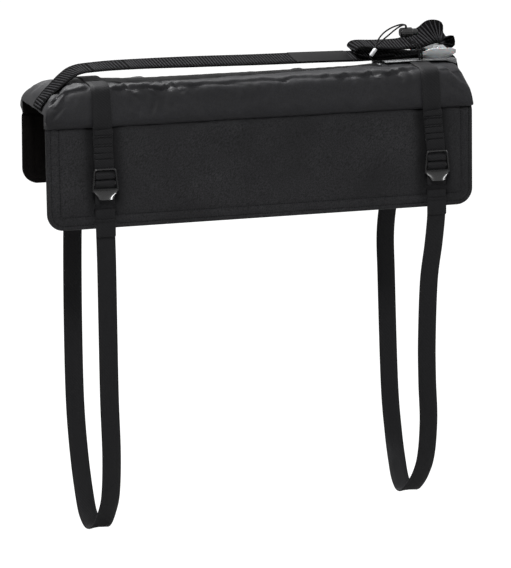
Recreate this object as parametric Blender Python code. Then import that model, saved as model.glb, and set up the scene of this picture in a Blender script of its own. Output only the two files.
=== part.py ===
"""Tailgate pad: a padded saddle cover for a truck tailgate, with two fastening
straps that hang in loops below it and one wide board strap along its ridge.

Frame: the origin is the centre of the channel's top face, which sits on the
tailgate's upper edge. +X runs along the pad, the front flap faces -Y and +Z is
up. Sizes are in metres.
"""
import math

import bmesh
import bpy
from mathutils import Vector

MM = 0.001

# Clearance kept between touching pieces
GAP = 0.3 * MM

# Pad: channel, flaps and ridge
PAD_LENGTH = 580 * MM
CHANNEL_HALF_WIDTH = 54.5 * MM
LINING_THICKNESS = 1.2 * MM
LINING_SETBACK = 6 * MM
FOAM_THICKNESS = 9.5 * MM
COVER_THICKNESS = 1.2 * MM
SEAM_DROP = 18 * MM
FRONT_FLAP_HEIGHT = 131 * MM
BACK_FLAP_HEIGHT = 93.5 * MM
FRONT_FLARE = math.radians(2.6)
BACK_FLARE = math.radians(0.9)
FLAP_CORNER_RADIUS = 22 * MM
RIDGE_RISE = 50 * MM
RIDGE_BULGE = 2.5 * MM
RIDGE_END_RISE = 21 * MM
RIDGE_CREST_SHIFT = -13 * MM
RIDGE_EXPONENT = 2.2
RIDGE_END_EXPONENT = 6.0
RIDGE_LEFT_TAPER = 36 * MM
RIDGE_RIGHT_TAPER = 16 * MM
RIDGE_LEFT_PUFF = 4.6 * MM
RIDGE_LEFT_PUFF_INSET = 58 * MM
RIDGE_LEFT_PUFF_LENGTH = 52 * MM
RIDGE_RIGHT_PUFF = 3 * MM
RIDGE_RIGHT_PUFF_INSET = 75 * MM
RIDGE_RIGHT_PUFF_LENGTH = 60 * MM
STRAP_DENT = 13 * MM
STRAP_DENT_Y = -26 * MM
STRAP_DENT_WIDTH = 21 * MM
STRAP_DENT_LENGTH = 34 * MM
SHOULDER_PULL = 0.4
SHOULDER_LENGTH = 30 * MM
SHOULDER_START = 4 * MM
SHOULDER_RISE = 14 * MM
RIDGE_FOAM_EASE = 1.3 * MM
FOAM_END_SETBACK = 8 * MM

# Fastening straps and ladder locks
WEBBING_WIDTH = 25.4 * MM
WEBBING_THICKNESS = 1.5 * MM
LEFT_STRAP_INSET = 73 * MM
RIGHT_STRAP_INSET = 60 * MM
LEFT_STRAP_LEAN = 1.5 * MM
RIGHT_STRAP_LEAN = 6 * MM
STRAP_LAP = 26 * MM
BACK_STRAP_STOP = 14 * MM
LEFT_BUCKLE_DROP = 51 * MM
RIGHT_BUCKLE_DROP = 54 * MM
BUCKLE_LENGTH = 41 * MM
BUCKLE_WIDTH = 34 * MM
BUCKLE_RAIL = 3.4 * MM
BUCKLE_BAR = 3.6 * MM
BUCKLE_TAB_WIDTH = 19 * MM
BUCKLE_FACE = 7.4 * MM
BUCKLE_RAIL_LENGTH = 31 * MM
BUCKLE_TAB_ROOT = 3 * MM
BUCKLE_TAB_TAPER = 6 * MM
KEEPER_WIDTH = 5.5 * MM
KEEPER_THICKNESS = 1.0 * MM
TAIL_HEM = 22 * MM

# Board strap, its cam buckle and the pad below the buckle
BOARD_STRAP_WIDTH = 38 * MM
BOARD_STRAP_THICKNESS = 1.6 * MM
LABEL_LENGTH = 86 * MM
LABEL_FROM_CAM = 200 * MM
LABEL_THICKNESS = 0.6 * MM
CAM_INSET = 28 * MM
CAM_Y = 13 * MM
BUCKLE_PAD_FROM_CAM = 78 * MM
BUCKLE_PAD_END_INSET = 7 * MM
BUCKLE_PAD_WIDTH = 48 * MM
BUCKLE_PAD_THICKNESS = 3 * MM
GUARD_LENGTH = 54 * MM
GUARD_WIDTH = 57 * MM
GUARD_HEIGHT = 13 * MM
GUARD_WALL = 1.6 * MM
FRAME_LENGTH = 34 * MM
FRAME_SHEET = 1.5 * MM
FRAME_WALL_HEIGHT = 15 * MM
CAM_RADIUS = 5.2 * MM
CAM_OFFSET = 1.6 * MM
PIN_RADIUS = 1.5 * MM
LEVER_LENGTH = 16 * MM
LEVER_THICKNESS = 1.6 * MM
LEVER_ANGLE = math.radians(-3)
LEVER_SPRING_WIDTH = 5.5 * MM
SPRING_WIRE = 0.8 * MM

# Elastic cord, its lock and its end clip
CORD_DIAMETER = 2.2 * MM
TETHER_DIAMETER = 2 * MM
EYELET_FROM_CAM = Vector((-0.0845, -0.0125, 0.0))
EYELET_RADIUS = 3.2 * MM
EYELET_THICKNESS = 0.9 * MM
LOCK_FROM_CAM = Vector((-0.0430, 0.0010, 0.0730))
LOCK_RADIUS = 6.3 * MM
LOCK_LENGTH = 17 * MM
PLUNGER_RADIUS = 4.6 * MM
PLUNGER_BUTTON_LENGTH = 7 * MM
PLUNGER_TRAVEL = 2 * MM
LOCK_FLOOR = 1.2 * MM
LOCK_SPRING_WIRE = 0.35 * MM
CLIP_FROM_CAM = Vector((-0.0937, -0.0135, 0.0510))
CLIP_LENGTH = 12 * MM
CLIP_WIDTH = 7 * MM
CLIP_THICKNESS = 4.2 * MM

# Places that follow the pad's length
LEFT_END_X = -PAD_LENGTH / 2
RIGHT_END_X = PAD_LENGTH / 2
LEFT_STRAP_X = LEFT_END_X + LEFT_STRAP_INSET
RIGHT_STRAP_X = RIGHT_END_X - RIGHT_STRAP_INSET
RIDGE_LEFT_PUFF_X = LEFT_END_X + RIDGE_LEFT_PUFF_INSET
RIDGE_RIGHT_PUFF_X = RIGHT_END_X - RIDGE_RIGHT_PUFF_INSET
CAM_X = RIGHT_END_X - CAM_INSET
LABEL_START_X = CAM_X - LABEL_FROM_CAM
BUCKLE_PAD_START_X = CAM_X - BUCKLE_PAD_FROM_CAM
BUCKLE_PAD_END_X = RIGHT_END_X - BUCKLE_PAD_END_INSET
CAM_PLACE = Vector((CAM_X, 0.0, 0.0))
EYELET_CENTRE = CAM_PLACE + EYELET_FROM_CAM
LOCK_CENTRE = CAM_PLACE + LOCK_FROM_CAM
CLIP_CENTRE = CAM_PLACE + CLIP_FROM_CAM


def clear_scene():
    """Remove every object that the file opened with."""
    for item in list(bpy.data.objects):
        bpy.data.objects.remove(item, do_unlink=True)


def linear(channel):
    """Turn one sRGB channel into a linear one."""
    return channel / 12.92 if channel <= 0.04045 else ((channel + 0.055) / 1.055) ** 2.4


def material(name, hex_colour, roughness, metallic=0.0):
    """Make a plain Principled material from an sRGB hex colour."""
    made = bpy.data.materials.new(name)
    made.use_nodes = True
    shader = made.node_tree.nodes["Principled BSDF"]
    rgb = [linear(int(hex_colour[i : i + 2], 16) / 255) for i in (0, 2, 4)]
    shader.inputs["Base Color"].default_value = (*rgb, 1.0)
    shader.inputs["Roughness"].default_value = roughness
    shader.inputs["Metallic"].default_value = metallic
    made.diffuse_color = (*rgb, 1.0)
    return made


def mesh_object(name, verts, faces, finish, smooth=False):
    """Make an object from corners and faces, with its faces pointing out."""
    mesh = bpy.data.meshes.new(name)
    mesh.from_pydata([tuple(v) for v in verts], [], faces)
    work = bmesh.new()
    work.from_mesh(mesh)
    bmesh.ops.recalc_face_normals(work, faces=work.faces)
    work.to_mesh(mesh)
    work.free()
    mesh.materials.append(finish)
    if smooth:
        mesh.shade_smooth()
        mesh.set_sharp_from_angle(angle=math.radians(35))
    made = bpy.data.objects.new(name, mesh)
    bpy.context.scene.collection.objects.link(made)
    return made


def guide(item):
    """Mark an object as a construction guide that isn't part of the model."""
    item.hide_render = True
    item.display_type = "WIRE"
    return item


def boolean(target, other, operation):
    """Join a guide to an object, or cut it away."""
    step = target.modifiers.new(operation.lower() + " " + other.name, "BOOLEAN")
    step.operation = operation
    step.object = guide(other)
    return target


def loft(name, rings, finish, smooth=False):
    """Skin a run of closed rings and cap both ends."""
    count = len(rings[0])
    verts = [point for ring in rings for point in ring]
    faces = []
    for i in range(len(rings) - 1):
        for j in range(count):
            k = (j + 1) % count
            faces.append((i * count + j, i * count + k, (i + 1) * count + k, (i + 1) * count + j))
    faces.append(tuple(reversed(range(count))))
    faces.append(tuple((len(rings) - 1) * count + j for j in range(count)))
    return mesh_object(name, verts, faces, finish, smooth)


def box(name, low, high, finish):
    """Make a box from its two far corners."""
    ring = [(low[0], low[1]), (high[0], low[1]), (high[0], high[1]), (low[0], high[1])]
    return loft(name, [[Vector((x, y, z)) for x, y in ring] for z in (low[2], high[2])], finish)


def disc_ring(centre, axis_u, axis_v, radius, sides):
    """Give the corners of a round ring."""
    ring = []
    for i in range(sides):
        turn = 2 * math.pi * (i + 0.5) / sides
        ring.append(centre + axis_u * (radius * math.cos(turn)) + axis_v * (radius * math.sin(turn)))
    return ring


def turned(name, start, axis, profile, finish, sides=24):
    """Turn a profile of (distance along the axis, radius) pairs about an axis."""
    axis_u = axis.orthogonal().normalized()
    axis_v = axis.cross(axis_u)
    rings = [disc_ring(start + axis * along, axis_u, axis_v, radius, sides) for along, radius in profile]
    return loft(name, rings, finish, smooth=True)


def smooth_route(points, spacing):
    """Read evenly spaced points from a smooth curve through chosen points."""
    route = []
    count = len(points)
    for i in range(count - 1):
        before = points[max(i - 1, 0)]
        after = points[min(i + 2, count - 1)]
        steps = max(1, round((points[i + 1] - points[i]).length / spacing))
        for step in range(steps):
            t = step / steps
            route.append(catmull_rom(before, points[i], points[i + 1], after, t))
    route.append(points[-1].copy())
    return route


def catmull_rom(p0, p1, p2, p3, t):
    """Read one point of the curve between p1 and p2."""
    bend = (p0 * -1 + p1 * 3 - p2 * 3 + p3) * t**3
    bend += (p0 * 2 - p1 * 5 + p2 * 4 - p3) * t**2
    return (p1 * 2 + (p2 - p0) * t + bend) * 0.5


def ribbon(name, centres, widths, width, thickness, finish):
    """Sweep a flat strap along its centre line, with its width direction at each point."""
    rings = []
    last = len(centres) - 1
    for i, centre in enumerate(centres):
        tangent = (centres[min(i + 1, last)] - centres[max(i - 1, 0)]).normalized()
        across = widths[i] - tangent * widths[i].dot(tangent)
        across.normalize()
        normal = tangent.cross(across)
        side = across * (width / 2)
        half = normal * (thickness / 2)
        rings.append([centre - side - half, centre + side - half, centre + side + half, centre - side + half])
    return loft(name, rings, finish)


def flat_ribbon(name, centres, width, thickness, finish):
    """Sweep a strap whose width runs along X all the way."""
    return ribbon(name, centres, [Vector((1, 0, 0))] * len(centres), width, thickness, finish)


def cord(name, points, diameter, finish):
    """Make a round cord along a smooth curve through its chosen points."""
    route = smooth_route(points, diameter * 2.2)
    data = bpy.data.curves.new(name, "CURVE")
    data.dimensions = "3D"
    spline = data.splines.new("POLY")
    spline.points.add(len(route) - 1)
    for knot, place in zip(spline.points, route):
        knot.co = (*place, 1.0)
    data.bevel_depth = diameter / 2
    data.bevel_resolution = 2
    data.use_fill_caps = True
    data.materials.append(finish)
    made = bpy.data.objects.new(name, data)
    bpy.context.scene.collection.objects.link(made)
    return made


# Ridge surface

def end_fullness(x, inset):
    """Say how full the ridge is at x: 0 at its end rim, 1 past its rounded end."""
    taper = RIDGE_LEFT_TAPER if x < 0 else RIDGE_RIGHT_TAPER
    depth = max(0.0, PAD_LENGTH / 2 - abs(x) - inset)
    if depth >= taper:
        return 1.0
    return math.sqrt(1 - (1 - depth / taper) ** 2)


def puff(x):
    """Give how far the ridge swells beside each strap."""
    left = RIDGE_LEFT_PUFF * math.exp(-(((x - RIDGE_LEFT_PUFF_X) / RIDGE_LEFT_PUFF_LENGTH) ** 2))
    right = RIDGE_RIGHT_PUFF * math.exp(-(((x - RIDGE_RIGHT_PUFF_X) / RIDGE_RIGHT_PUFF_LENGTH) ** 2))
    return left + right


def dent(x, y):
    """Give how far the board strap presses the ridge's left end down."""
    along = (x + PAD_LENGTH / 2) / STRAP_DENT_LENGTH
    across = (y - STRAP_DENT_Y) / STRAP_DENT_WIDTH
    if along >= 1:
        return 0.0
    return STRAP_DENT * (1 - along**2) * math.exp(-(across**2))


def shoulder(x, z):
    """Give how far the ridge's right end is drawn in at its shoulders, above the rim."""
    depth = max(0.0, PAD_LENGTH / 2 - x)
    if depth >= SHOULDER_LENGTH:
        return 0.0
    height = min(1.0, max(0.0, (z - SHOULDER_START) / SHOULDER_RISE))
    return SHOULDER_PULL * height * (1 - math.sqrt(1 - (1 - depth / SHOULDER_LENGTH) ** 2))


def ridge_point(x, turn, inset=0.0):
    """Give the ridge's surface at x, from the front seam (turn 0) to the back one (turn pi)."""
    full = end_fullness(x, inset)
    half = SEAM_HALF + RIDGE_BULGE * full - inset
    rise = RIDGE_END_RISE + (RIDGE_RISE + puff(x) - RIDGE_END_RISE) * full - inset
    end_exponent = RIDGE_END_EXPONENT if x < 0 else RIDGE_EXPONENT
    power = 2 / (end_exponent + (RIDGE_EXPONENT - end_exponent) * full)
    sine = max(math.sin(turn), 0.0)
    cosine = math.cos(turn)
    z = -SEAM_DROP + rise * sine**power
    y = -half * math.copysign(abs(cosine) ** power, cosine) * (1 - shoulder(x, z) * sine)
    y += RIDGE_CREST_SHIFT * full * sine**2
    if z > 0:
        z -= min(dent(x, y), max(0.0, z - RIDGE_END_RISE + SEAM_DROP + inset))
    return Vector((x, y, z))


def ridge_top(x, y, inset=0.0):
    """Give the height of the ridge's upper side at x and y."""
    low = 0.15 * math.pi
    high = 0.85 * math.pi
    for _ in range(40):
        middle = (low + high) / 2
        if ridge_point(x, middle, inset).y < y:
            low = middle
        else:
            high = middle
    return ridge_point(x, low, inset).z


SEAM_HALF = CHANNEL_HALF_WIDTH + LINING_THICKNESS + GAP + FOAM_THICKNESS + GAP + COVER_THICKNESS
RIDGE_STATIONS = [0, 1.5, 4, 8, 13, 19, 26, 33, 40, 52, 66, 82, 100, 124, 150, 180, 215, 250, 290]


def ridge_stations(inset):
    """Give the X positions of the ridge's sections, close together near its ends."""
    half = PAD_LENGTH / 2 - inset
    left = [-half + step * MM for step in RIDGE_STATIONS if step * MM < half - 20 * MM]
    return left + [0.0] + [-x for x in reversed(left)]


def make_ridge(finishes):
    """Make the ridge's cover and the foam inside it."""
    turns = [math.pi * i / 18 for i in range(19)]
    rings = []
    for x in ridge_stations(0.0):
        outer = [ridge_point(x, turn) for turn in turns]
        inner = [ridge_point(x, turn, COVER_THICKNESS) for turn in reversed(turns)]
        rings.append(outer + inner)
    loft("ridge_cover", rings, finishes["ripstop"], smooth=True)
    inset = COVER_THICKNESS + RIDGE_FOAM_EASE
    foot = LINING_THICKNESS + GAP
    rings = []
    for x in ridge_stations(FOAM_END_SETBACK):
        start = turn_at_height(x, foot, inset, 0.0)
        stop = turn_at_height(x, foot, inset, math.pi)
        rings.append([ridge_point(x, start + (stop - start) * i / 16, inset) for i in range(17)])
    loft("ridge_foam", rings, finishes["foam"], smooth=True)


def turn_at_height(x, height, inset, side):
    """Find the turn, from one seam upwards, where the ridge's surface reaches a height."""
    low, high = side, math.pi / 2
    for _ in range(40):
        middle = (low + high) / 2
        if ridge_point(x, middle, inset).z < height:
            low = middle
        else:
            high = middle
    return high


# Flaps

def flap_outline(half_length, top, bottom, radius):
    """Give a flap's outline as (x, drop) pairs, square at the top and round below."""
    points = [(-half_length, top), (half_length, top)]
    for step in range(9):
        turn = math.pi / 2 * step / 8
        points.append(
            (half_length - radius + radius * math.cos(turn), bottom - radius + radius * math.sin(turn))
        )
    for step in range(9):
        turn = math.pi / 2 + math.pi / 2 * step / 8
        points.append(
            (-half_length + radius + radius * math.cos(turn), bottom - radius + radius * math.sin(turn))
        )
    return points


def flap_place(side, flare, x, drop, out):
    """Place a point on a flap: drop is measured down from the seam, out from the flap's outer face."""
    down = Vector((0, side * math.sin(flare), -math.cos(flare))) if drop > 0 else Vector((0, 0, -1))
    away = Vector((0, side * math.cos(flare), math.sin(flare))) if drop > 0 else Vector((0, side, 0))
    return Vector((x, side * SEAM_HALF, -SEAM_DROP)) + down * drop + away * out


def flap_plate(name, side, flare, outline, near, far, finish):
    """Make a flat plate on a flap between two distances from its outer face."""
    rings = []
    for out in (near, far):
        rings.append([flap_place(side, flare, x, max(drop, 0.001 * MM), out) for x, drop in outline])
    return loft(name, rings, finish)


def make_flap(label, side, flare, height, finishes):
    """Make one flap: outer panel with turned edges, foam and lining."""
    half = PAD_LENGTH / 2
    rim = COVER_THICKNESS + GAP
    skin_out = -COVER_THICKNESS
    foam_out = skin_out - GAP
    foam_in = foam_out - FOAM_THICKNESS
    lining_out = foam_in - GAP
    lining_in = lining_out - LINING_THICKNESS
    panel = flap_plate(
        label + "_flap_panel",
        side,
        flare,
        flap_outline(half, GAP, height, FLAP_CORNER_RADIUS),
        0.0,
        foam_in,
        finishes["canvas"],
    )
    hollow = flap_plate(
        label + "_flap_hollow",
        side,
        flare,
        flap_outline(half - COVER_THICKNESS, -6 * MM, height - COVER_THICKNESS, FLAP_CORNER_RADIUS - rim),
        skin_out,
        foam_in - 5 * MM,
        finishes["canvas"],
    )
    boolean(panel, hollow, "DIFFERENCE")
    flap_plate(
        label + "_flap_foam",
        side,
        flare,
        flap_outline(half - rim, GAP, height - rim, FLAP_CORNER_RADIUS - rim),
        foam_out,
        foam_in,
        finishes["foam"],
    )
    flap_plate(
        label + "_flap_lining",
        side,
        flare,
        flap_outline(half, GAP, height, FLAP_CORNER_RADIUS),
        lining_out,
        lining_in,
        finishes["lining"],
    )
    shoulder_out = side * (SEAM_HALF - rim)
    shoulder_in = side * (CHANNEL_HALF_WIDTH + LINING_THICKNESS + GAP)
    top = LINING_THICKNESS
    section = [
        (shoulder_out, -SEAM_DROP),
        (shoulder_out, -8 * MM),
        (shoulder_out - side * 6 * MM, top),
        (shoulder_in, top),
        (shoulder_in, -SEAM_DROP),
    ]
    left_end = -half + rim + 1.6 * MM
    right_end = half - SHOULDER_LENGTH / 2
    loft(
        label + "_shoulder_foam",
        [[Vector((x, y, z)) for y, z in section] for x in (left_end, right_end)],
        finishes["foam"],
    )


def make_channel_lining(finishes):
    """Make the lining that sits on the tailgate's upper edge and its two short sides."""
    half = PAD_LENGTH / 2 - LINING_SETBACK
    inner = CHANNEL_HALF_WIDTH
    box("channel_lining", (-half, -inner, 0.0), (half, inner, LINING_THICKNESS), finishes["lining"])
    for label, side in (("front", -1), ("back", 1)):
        y = sorted((side * inner, side * (inner + LINING_THICKNESS)))
        box(
            label + "_channel_side",
            (-half, y[0] + (GAP if side > 0 else 0), -SEAM_DROP),
            (half, y[1] - (GAP if side < 0 else 0), LINING_THICKNESS),
            finishes["lining"],
        )


# Fastening straps

def strap_over_ridge(x, out):
    """Give the run of a strap over the ridge, at a distance outside its surface."""
    route = []
    for i in range(19):
        turn = math.pi * i / 18
        place = ridge_point(x, turn)
        ahead = ridge_point(x, min(turn + 0.02, math.pi))
        behind = ridge_point(x, max(turn - 0.02, 0.0))
        tangent = ahead - behind
        normal = Vector((0, -tangent.z, tangent.y)).normalized()
        route.append(place + normal * out)
    return route


def arc_profile(centre, radius, start, stop, steps):
    """Give points of an arc in a flap's (drop, out) plane, angles in degrees."""
    points = []
    for i in range(steps + 1):
        turn = math.radians(start + (stop - start) * i / steps)
        points.append((centre[0] + radius * math.cos(turn), centre[1] + radius * math.sin(turn)))
    return points


def make_ladder_lock(label, x, drop, finishes):
    """Make a ladder lock: two rails, three bars and a thumb tab."""
    flare = FRONT_FLARE
    half = BUCKLE_WIDTH / 2
    plastic = finishes["acetal"]

    def block(name, x_low, x_high, s_low, s_high, o_low, o_high):
        corners = [(x + x_low, drop + s_low), (x + x_high, drop + s_low)]
        corners += [(x + x_high, drop + s_high), (x + x_low, drop + s_high)]
        return flap_plate(name, -1, flare, corners, o_low, o_high, plastic)

    low, face = 1.0 * MM, BUCKLE_FACE
    root = BUCKLE_RAIL / 2
    inset = 0.2 * MM
    rail = BUCKLE_RAIL_LENGTH
    body = block(label + "_ladder_lock", -half, -half + BUCKLE_RAIL, -inset, rail, low, face)
    parts = [
        block(label + "_rail", half - BUCKLE_RAIL, half, -inset, rail, low, face),
        block(label + "_top_bar", -half + root, half - root, 0, BUCKLE_BAR, 4.0 * MM, face - inset),
    ]
    for name, bar in (("upper_bar", UPPER_BAR), ("lower_bar", LOWER_BAR)):
        parts.append(
            block(label + "_" + name, -half + root, half - root, bar, bar + BUCKLE_BAR, BAR_BACK, BAR_FRONT)
        )
    tab_half = BUCKLE_TAB_WIDTH / 2
    shoulder = half - inset
    neck = rail + BUCKLE_TAB_TAPER
    tab = [(-shoulder, rail - BUCKLE_TAB_ROOT), (shoulder, rail - BUCKLE_TAB_ROOT), (shoulder, rail)]
    tab += [(tab_half + 2 * MM, neck), (tab_half, BUCKLE_LENGTH), (-tab_half, BUCKLE_LENGTH)]
    tab += [(-tab_half - 2 * MM, neck), (-shoulder, rail)]
    outline = [(x + across, drop + along) for across, along in tab]
    parts.append(flap_plate(label + "_tab", -1, flare, outline, 4.6 * MM, face + 0.8 * MM, plastic))
    for piece in parts:
        boolean(body, piece, "UNION")


UPPER_BAR = 9.2 * MM
LOWER_BAR = 18.6 * MM
BAR_BACK = 2.2 * MM
BAR_FRONT = 4.8 * MM
LAYER = GAP + WEBBING_THICKNESS / 2


def bar_wrap(bar_drop, from_below):
    """Give the path of a strap around a bar, from behind it to its front and back again."""
    middle = bar_drop + BUCKLE_BAR / 2
    back = LAYER
    front = BAR_FRONT + LAYER
    second = BAR_BACK + LAYER - 0.1 * MM
    sign = -1 if from_below else 1
    reach = BUCKLE_BAR / 2 + LAYER
    centre = (back + front) / 2
    points = [(middle + sign * (reach - 0.6 * MM), back)]
    points += [(middle + sign * (reach + 0.5 * MM), centre - 1.1 * MM)]
    points += [(middle + sign * (reach + 0.5 * MM), centre + 1.1 * MM)]
    points += [(middle + sign * (reach - 0.8 * MM), front)]
    points += [(middle - sign * (reach - 1.0 * MM), front)]
    points += [(middle - sign * (reach + 0.6 * MM), front - 1.0 * MM)]
    points += [(middle - sign * (reach + 1.8 * MM), second + 0.5 * MM)]
    points += [(middle - sign * (reach + 3.6 * MM), second)]
    return points


def make_fastening_strap(label, x, lean, buckle_drop, hanging_rows, finishes):
    """Make one fastening strap: over the ridge, through its ladder lock and round in a loop."""
    web = finishes["webbing"]
    below = x + lean

    def on_flap(drop, out):
        share = min(1.0, drop / buckle_drop)
        return flap_place(-1, FRONT_FLARE, x + lean * share, drop, out)

    flap_end = BACK_FLAP_HEIGHT - BACK_STRAP_STOP
    ridge_run = strap_over_ridge(x, LAYER + 0.25 * MM)
    front_run = [on_flap(drop * MM, out * MM) for drop, out in FRONT_LAP]
    back_run = [flap_place(1, BACK_FLARE, x, drop, LAYER) for drop in (12 * MM, flap_end / 2, flap_end)]
    flat_ribbon(
        label + "_strap_over",
        list(reversed(front_run)) + ridge_run + back_run,
        WEBBING_WIDTH,
        WEBBING_THICKNESS,
        web,
    )
    double = LAYER * 2 + WEBBING_THICKNESS / 2 + GAP
    chape = [(STRAP_LAP + 4 * MM, LAYER), (buckle_drop, LAYER)]
    chape += [(buckle_drop + s, o) for s, o in bar_wrap(UPPER_BAR, False)]
    chape += [(buckle_drop - 4 * MM, double - 0.4 * MM), (STRAP_LAP + 6 * MM, double)]
    chape += [(STRAP_LAP - 8 * MM, double + 0.5 * MM), (8 * MM, 5.6 * MM), (2 * MM, 6.0 * MM)]
    places = [on_flap(drop, out) for drop, out in chape]
    flat_ribbon(label + "_chape", places, WEBBING_WIDTH, WEBBING_THICKNESS, web)
    make_ladder_lock(label, below, buckle_drop, finishes)

    keeper_drop = buckle_drop + BUCKLE_LENGTH + 6 * MM
    leg_out = KEEPER_THICKNESS + 2 * GAP + WEBBING_THICKNESS / 2
    tail_out = leg_out + WEBBING_THICKNESS + GAP
    tail_end = FRONT_FLAP_HEIGHT + 9 * MM
    profile = [(tail_end - TAIL_HEM, tail_out + WEBBING_THICKNESS + GAP)]
    profile += [(tail_end - 1.5 * MM, tail_out + WEBBING_THICKNESS + GAP)]
    profile += [(tail_end, tail_out + (WEBBING_THICKNESS + GAP) / 2)]
    profile += [(tail_end - 1.5 * MM, tail_out), (tail_end - TAIL_HEM, tail_out)]
    profile += [(keeper_drop + 5 * MM, tail_out), (keeper_drop, tail_out)]
    profile += [(buckle_drop + 33 * MM, BAR_BACK + LAYER - 0.1 * MM)]
    profile += [(buckle_drop + s, o) for s, o in reversed(bar_wrap(LOWER_BAR, True))]
    profile += [(buckle_drop + 33 * MM, LAYER), (keeper_drop, leg_out), (keeper_drop + 5 * MM, leg_out)]
    profile += [(FRONT_FLAP_HEIGHT, leg_out)]
    upper = [on_flap(drop, out) for drop, out in profile]
    offset = Vector((x, 0, 0))
    free = [offset + place for place in hanging_rows]
    hanging = smooth_route([upper[-1]] + free, 11 * MM)[1:]
    rise = [flap_place(1, BACK_FLARE, x, BACK_FLAP_HEIGHT, LAYER)]
    rise += [flap_place(1, BACK_FLARE, x, flap_end + 6 * MM, LAYER)]
    flat_ribbon(label + "_loop_strap", upper + hanging + rise, WEBBING_WIDTH, WEBBING_THICKNESS, web)
    make_keeper(label, below, keeper_drop, leg_out, tail_out, finishes)


def make_keeper(label, x, drop, leg_out, tail_out, finishes):
    """Make the elastic band that holds a strap's tail against its leg."""
    half = WEBBING_WIDTH / 2 + GAP
    low = leg_out - WEBBING_THICKNESS / 2 - GAP
    high = tail_out + WEBBING_THICKNESS / 2 + GAP
    thick = KEEPER_THICKNESS
    outer = [(-half - thick, low - thick + 0.1 * MM), (half + thick, low - thick + 0.1 * MM)]
    outer += [(half + thick, high + thick), (-half - thick, high + thick)]
    inner = [(-half, low), (half, low), (half, high), (-half, high)]
    rings = []
    for loop in (outer, inner):
        for along in (drop, drop + KEEPER_WIDTH):
            rings.append([flap_place(-1, FRONT_FLARE, x + across, along, out) for across, out in loop])
    verts = [point for ring in rings for point in ring]
    faces = []
    for first, second in ((0, 1), (1, 3), (3, 2), (2, 0)):
        for j in range(4):
            k = (j + 1) % 4
            faces.append((first * 4 + j, first * 4 + k, second * 4 + k, second * 4 + j))
    mesh_object(label + "_keeper", verts, faces, finishes["elastic"])


FRONT_LAP = [(9, 2.4), (15, 1.6), (26, 1.3)]


def points_mm(*rows):
    """Turn rows of millimetres into points."""
    return [Vector(row) * MM for row in rows]


# The free part of each strap, from the front leg round the loop and up the back, from the strap's own x
LEFT_HANGING = points_mm(
    (2, -75, -165),
    (3, -74, -201),
    (5, -70, -290),
    (8, -63, -378),
    (14.5, -47, -457),
    (17.5, -30, -515),
    (16, -16, -545),
    (12, -3, -566),
    (6, 8, -569),
    (1, 17, -560),
    (-1.5, 28, -540),
    (-3.5, 49, -484),
    (-5, 63, -410),
    (-5, 69, -300),
    (-4, 70.5, -193),
    (-2, 70, -135),
)
RIGHT_HANGING = points_mm(
    (5.5, -76, -165),
    (3, -74, -200),
    (-0.5, -68, -250),
    (-0.5, -63, -330),
    (2.5, -58, -389),
    (9.5, -46, -446),
    (12.5, -30, -500),
    (9, -17, -532),
    (1, -5, -553),
    (-4, 6, -556),
    (-7, 17, -545),
    (-7, 30, -525),
    (-6, 49, -488),
    (-8, 61, -421),
    (-11.4, 68, -274),
    (-12, 70.5, -204),
    (-3.5, 70, -135),
)


# Board strap and its buckle

CREST_Z = ridge_top(CAM_X - 30 * MM, CAM_Y)
PAD_LIFT = WEBBING_THICKNESS + 3 * GAP + 0.4 * MM
PAD_TOP = CREST_Z + PAD_LIFT + BUCKLE_PAD_THICKNESS
GUARD_BASE = PAD_TOP + GAP
FRAME_BASE = GUARD_BASE + GUARD_WALL + GAP
STRAP_IN_BUCKLE = FRAME_BASE + FRAME_SHEET + GAP + BOARD_STRAP_THICKNESS / 2
CAM_DROP = CAM_OFFSET * math.sqrt(0.5)
PIVOT_RISE = BOARD_STRAP_THICKNESS + 2 * GAP + 0.2 * MM + CAM_RADIUS + CAM_DROP
PIVOT = Vector((CAM_X, CAM_Y, FRAME_BASE + FRAME_SHEET + PIVOT_RISE))


def make_buckle_pad(finishes):
    """Make the padded strip that lies on the ridge below the cam buckle."""
    rings = []
    steps = 8
    x = BUCKLE_PAD_START_X
    stations = []
    while x < BUCKLE_PAD_END_X:
        stations.append(x)
        x += 14 * MM
    stations.append(BUCKLE_PAD_END_X)
    for x in stations:
        low = []
        high = []
        for i in range(steps + 1):
            y = CAM_Y + BUCKLE_PAD_WIDTH * (i / steps - 0.5)
            bottom = ridge_top(x, y) + PAD_LIFT
            low.append(Vector((x, y, bottom)))
            high.append(Vector((x, y, PAD_TOP)))
        rings.append(low + list(reversed(high)))
    loft("buckle_pad", rings, finishes["felt"])


def boat_ring(length, width, z):
    """Give a boat-shaped outline round the buckle, at one height."""
    ring = []
    for i in range(28):
        turn = 2 * math.pi * i / 28
        cosine, sine = math.cos(turn), math.sin(turn)
        x = math.copysign(abs(cosine) ** 0.5, cosine) * length / 2
        y = math.copysign(abs(sine) ** 0.5, sine) * width / 2
        ring.append(Vector((CAM_X + x, CAM_Y + y, z)))
    return ring


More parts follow.
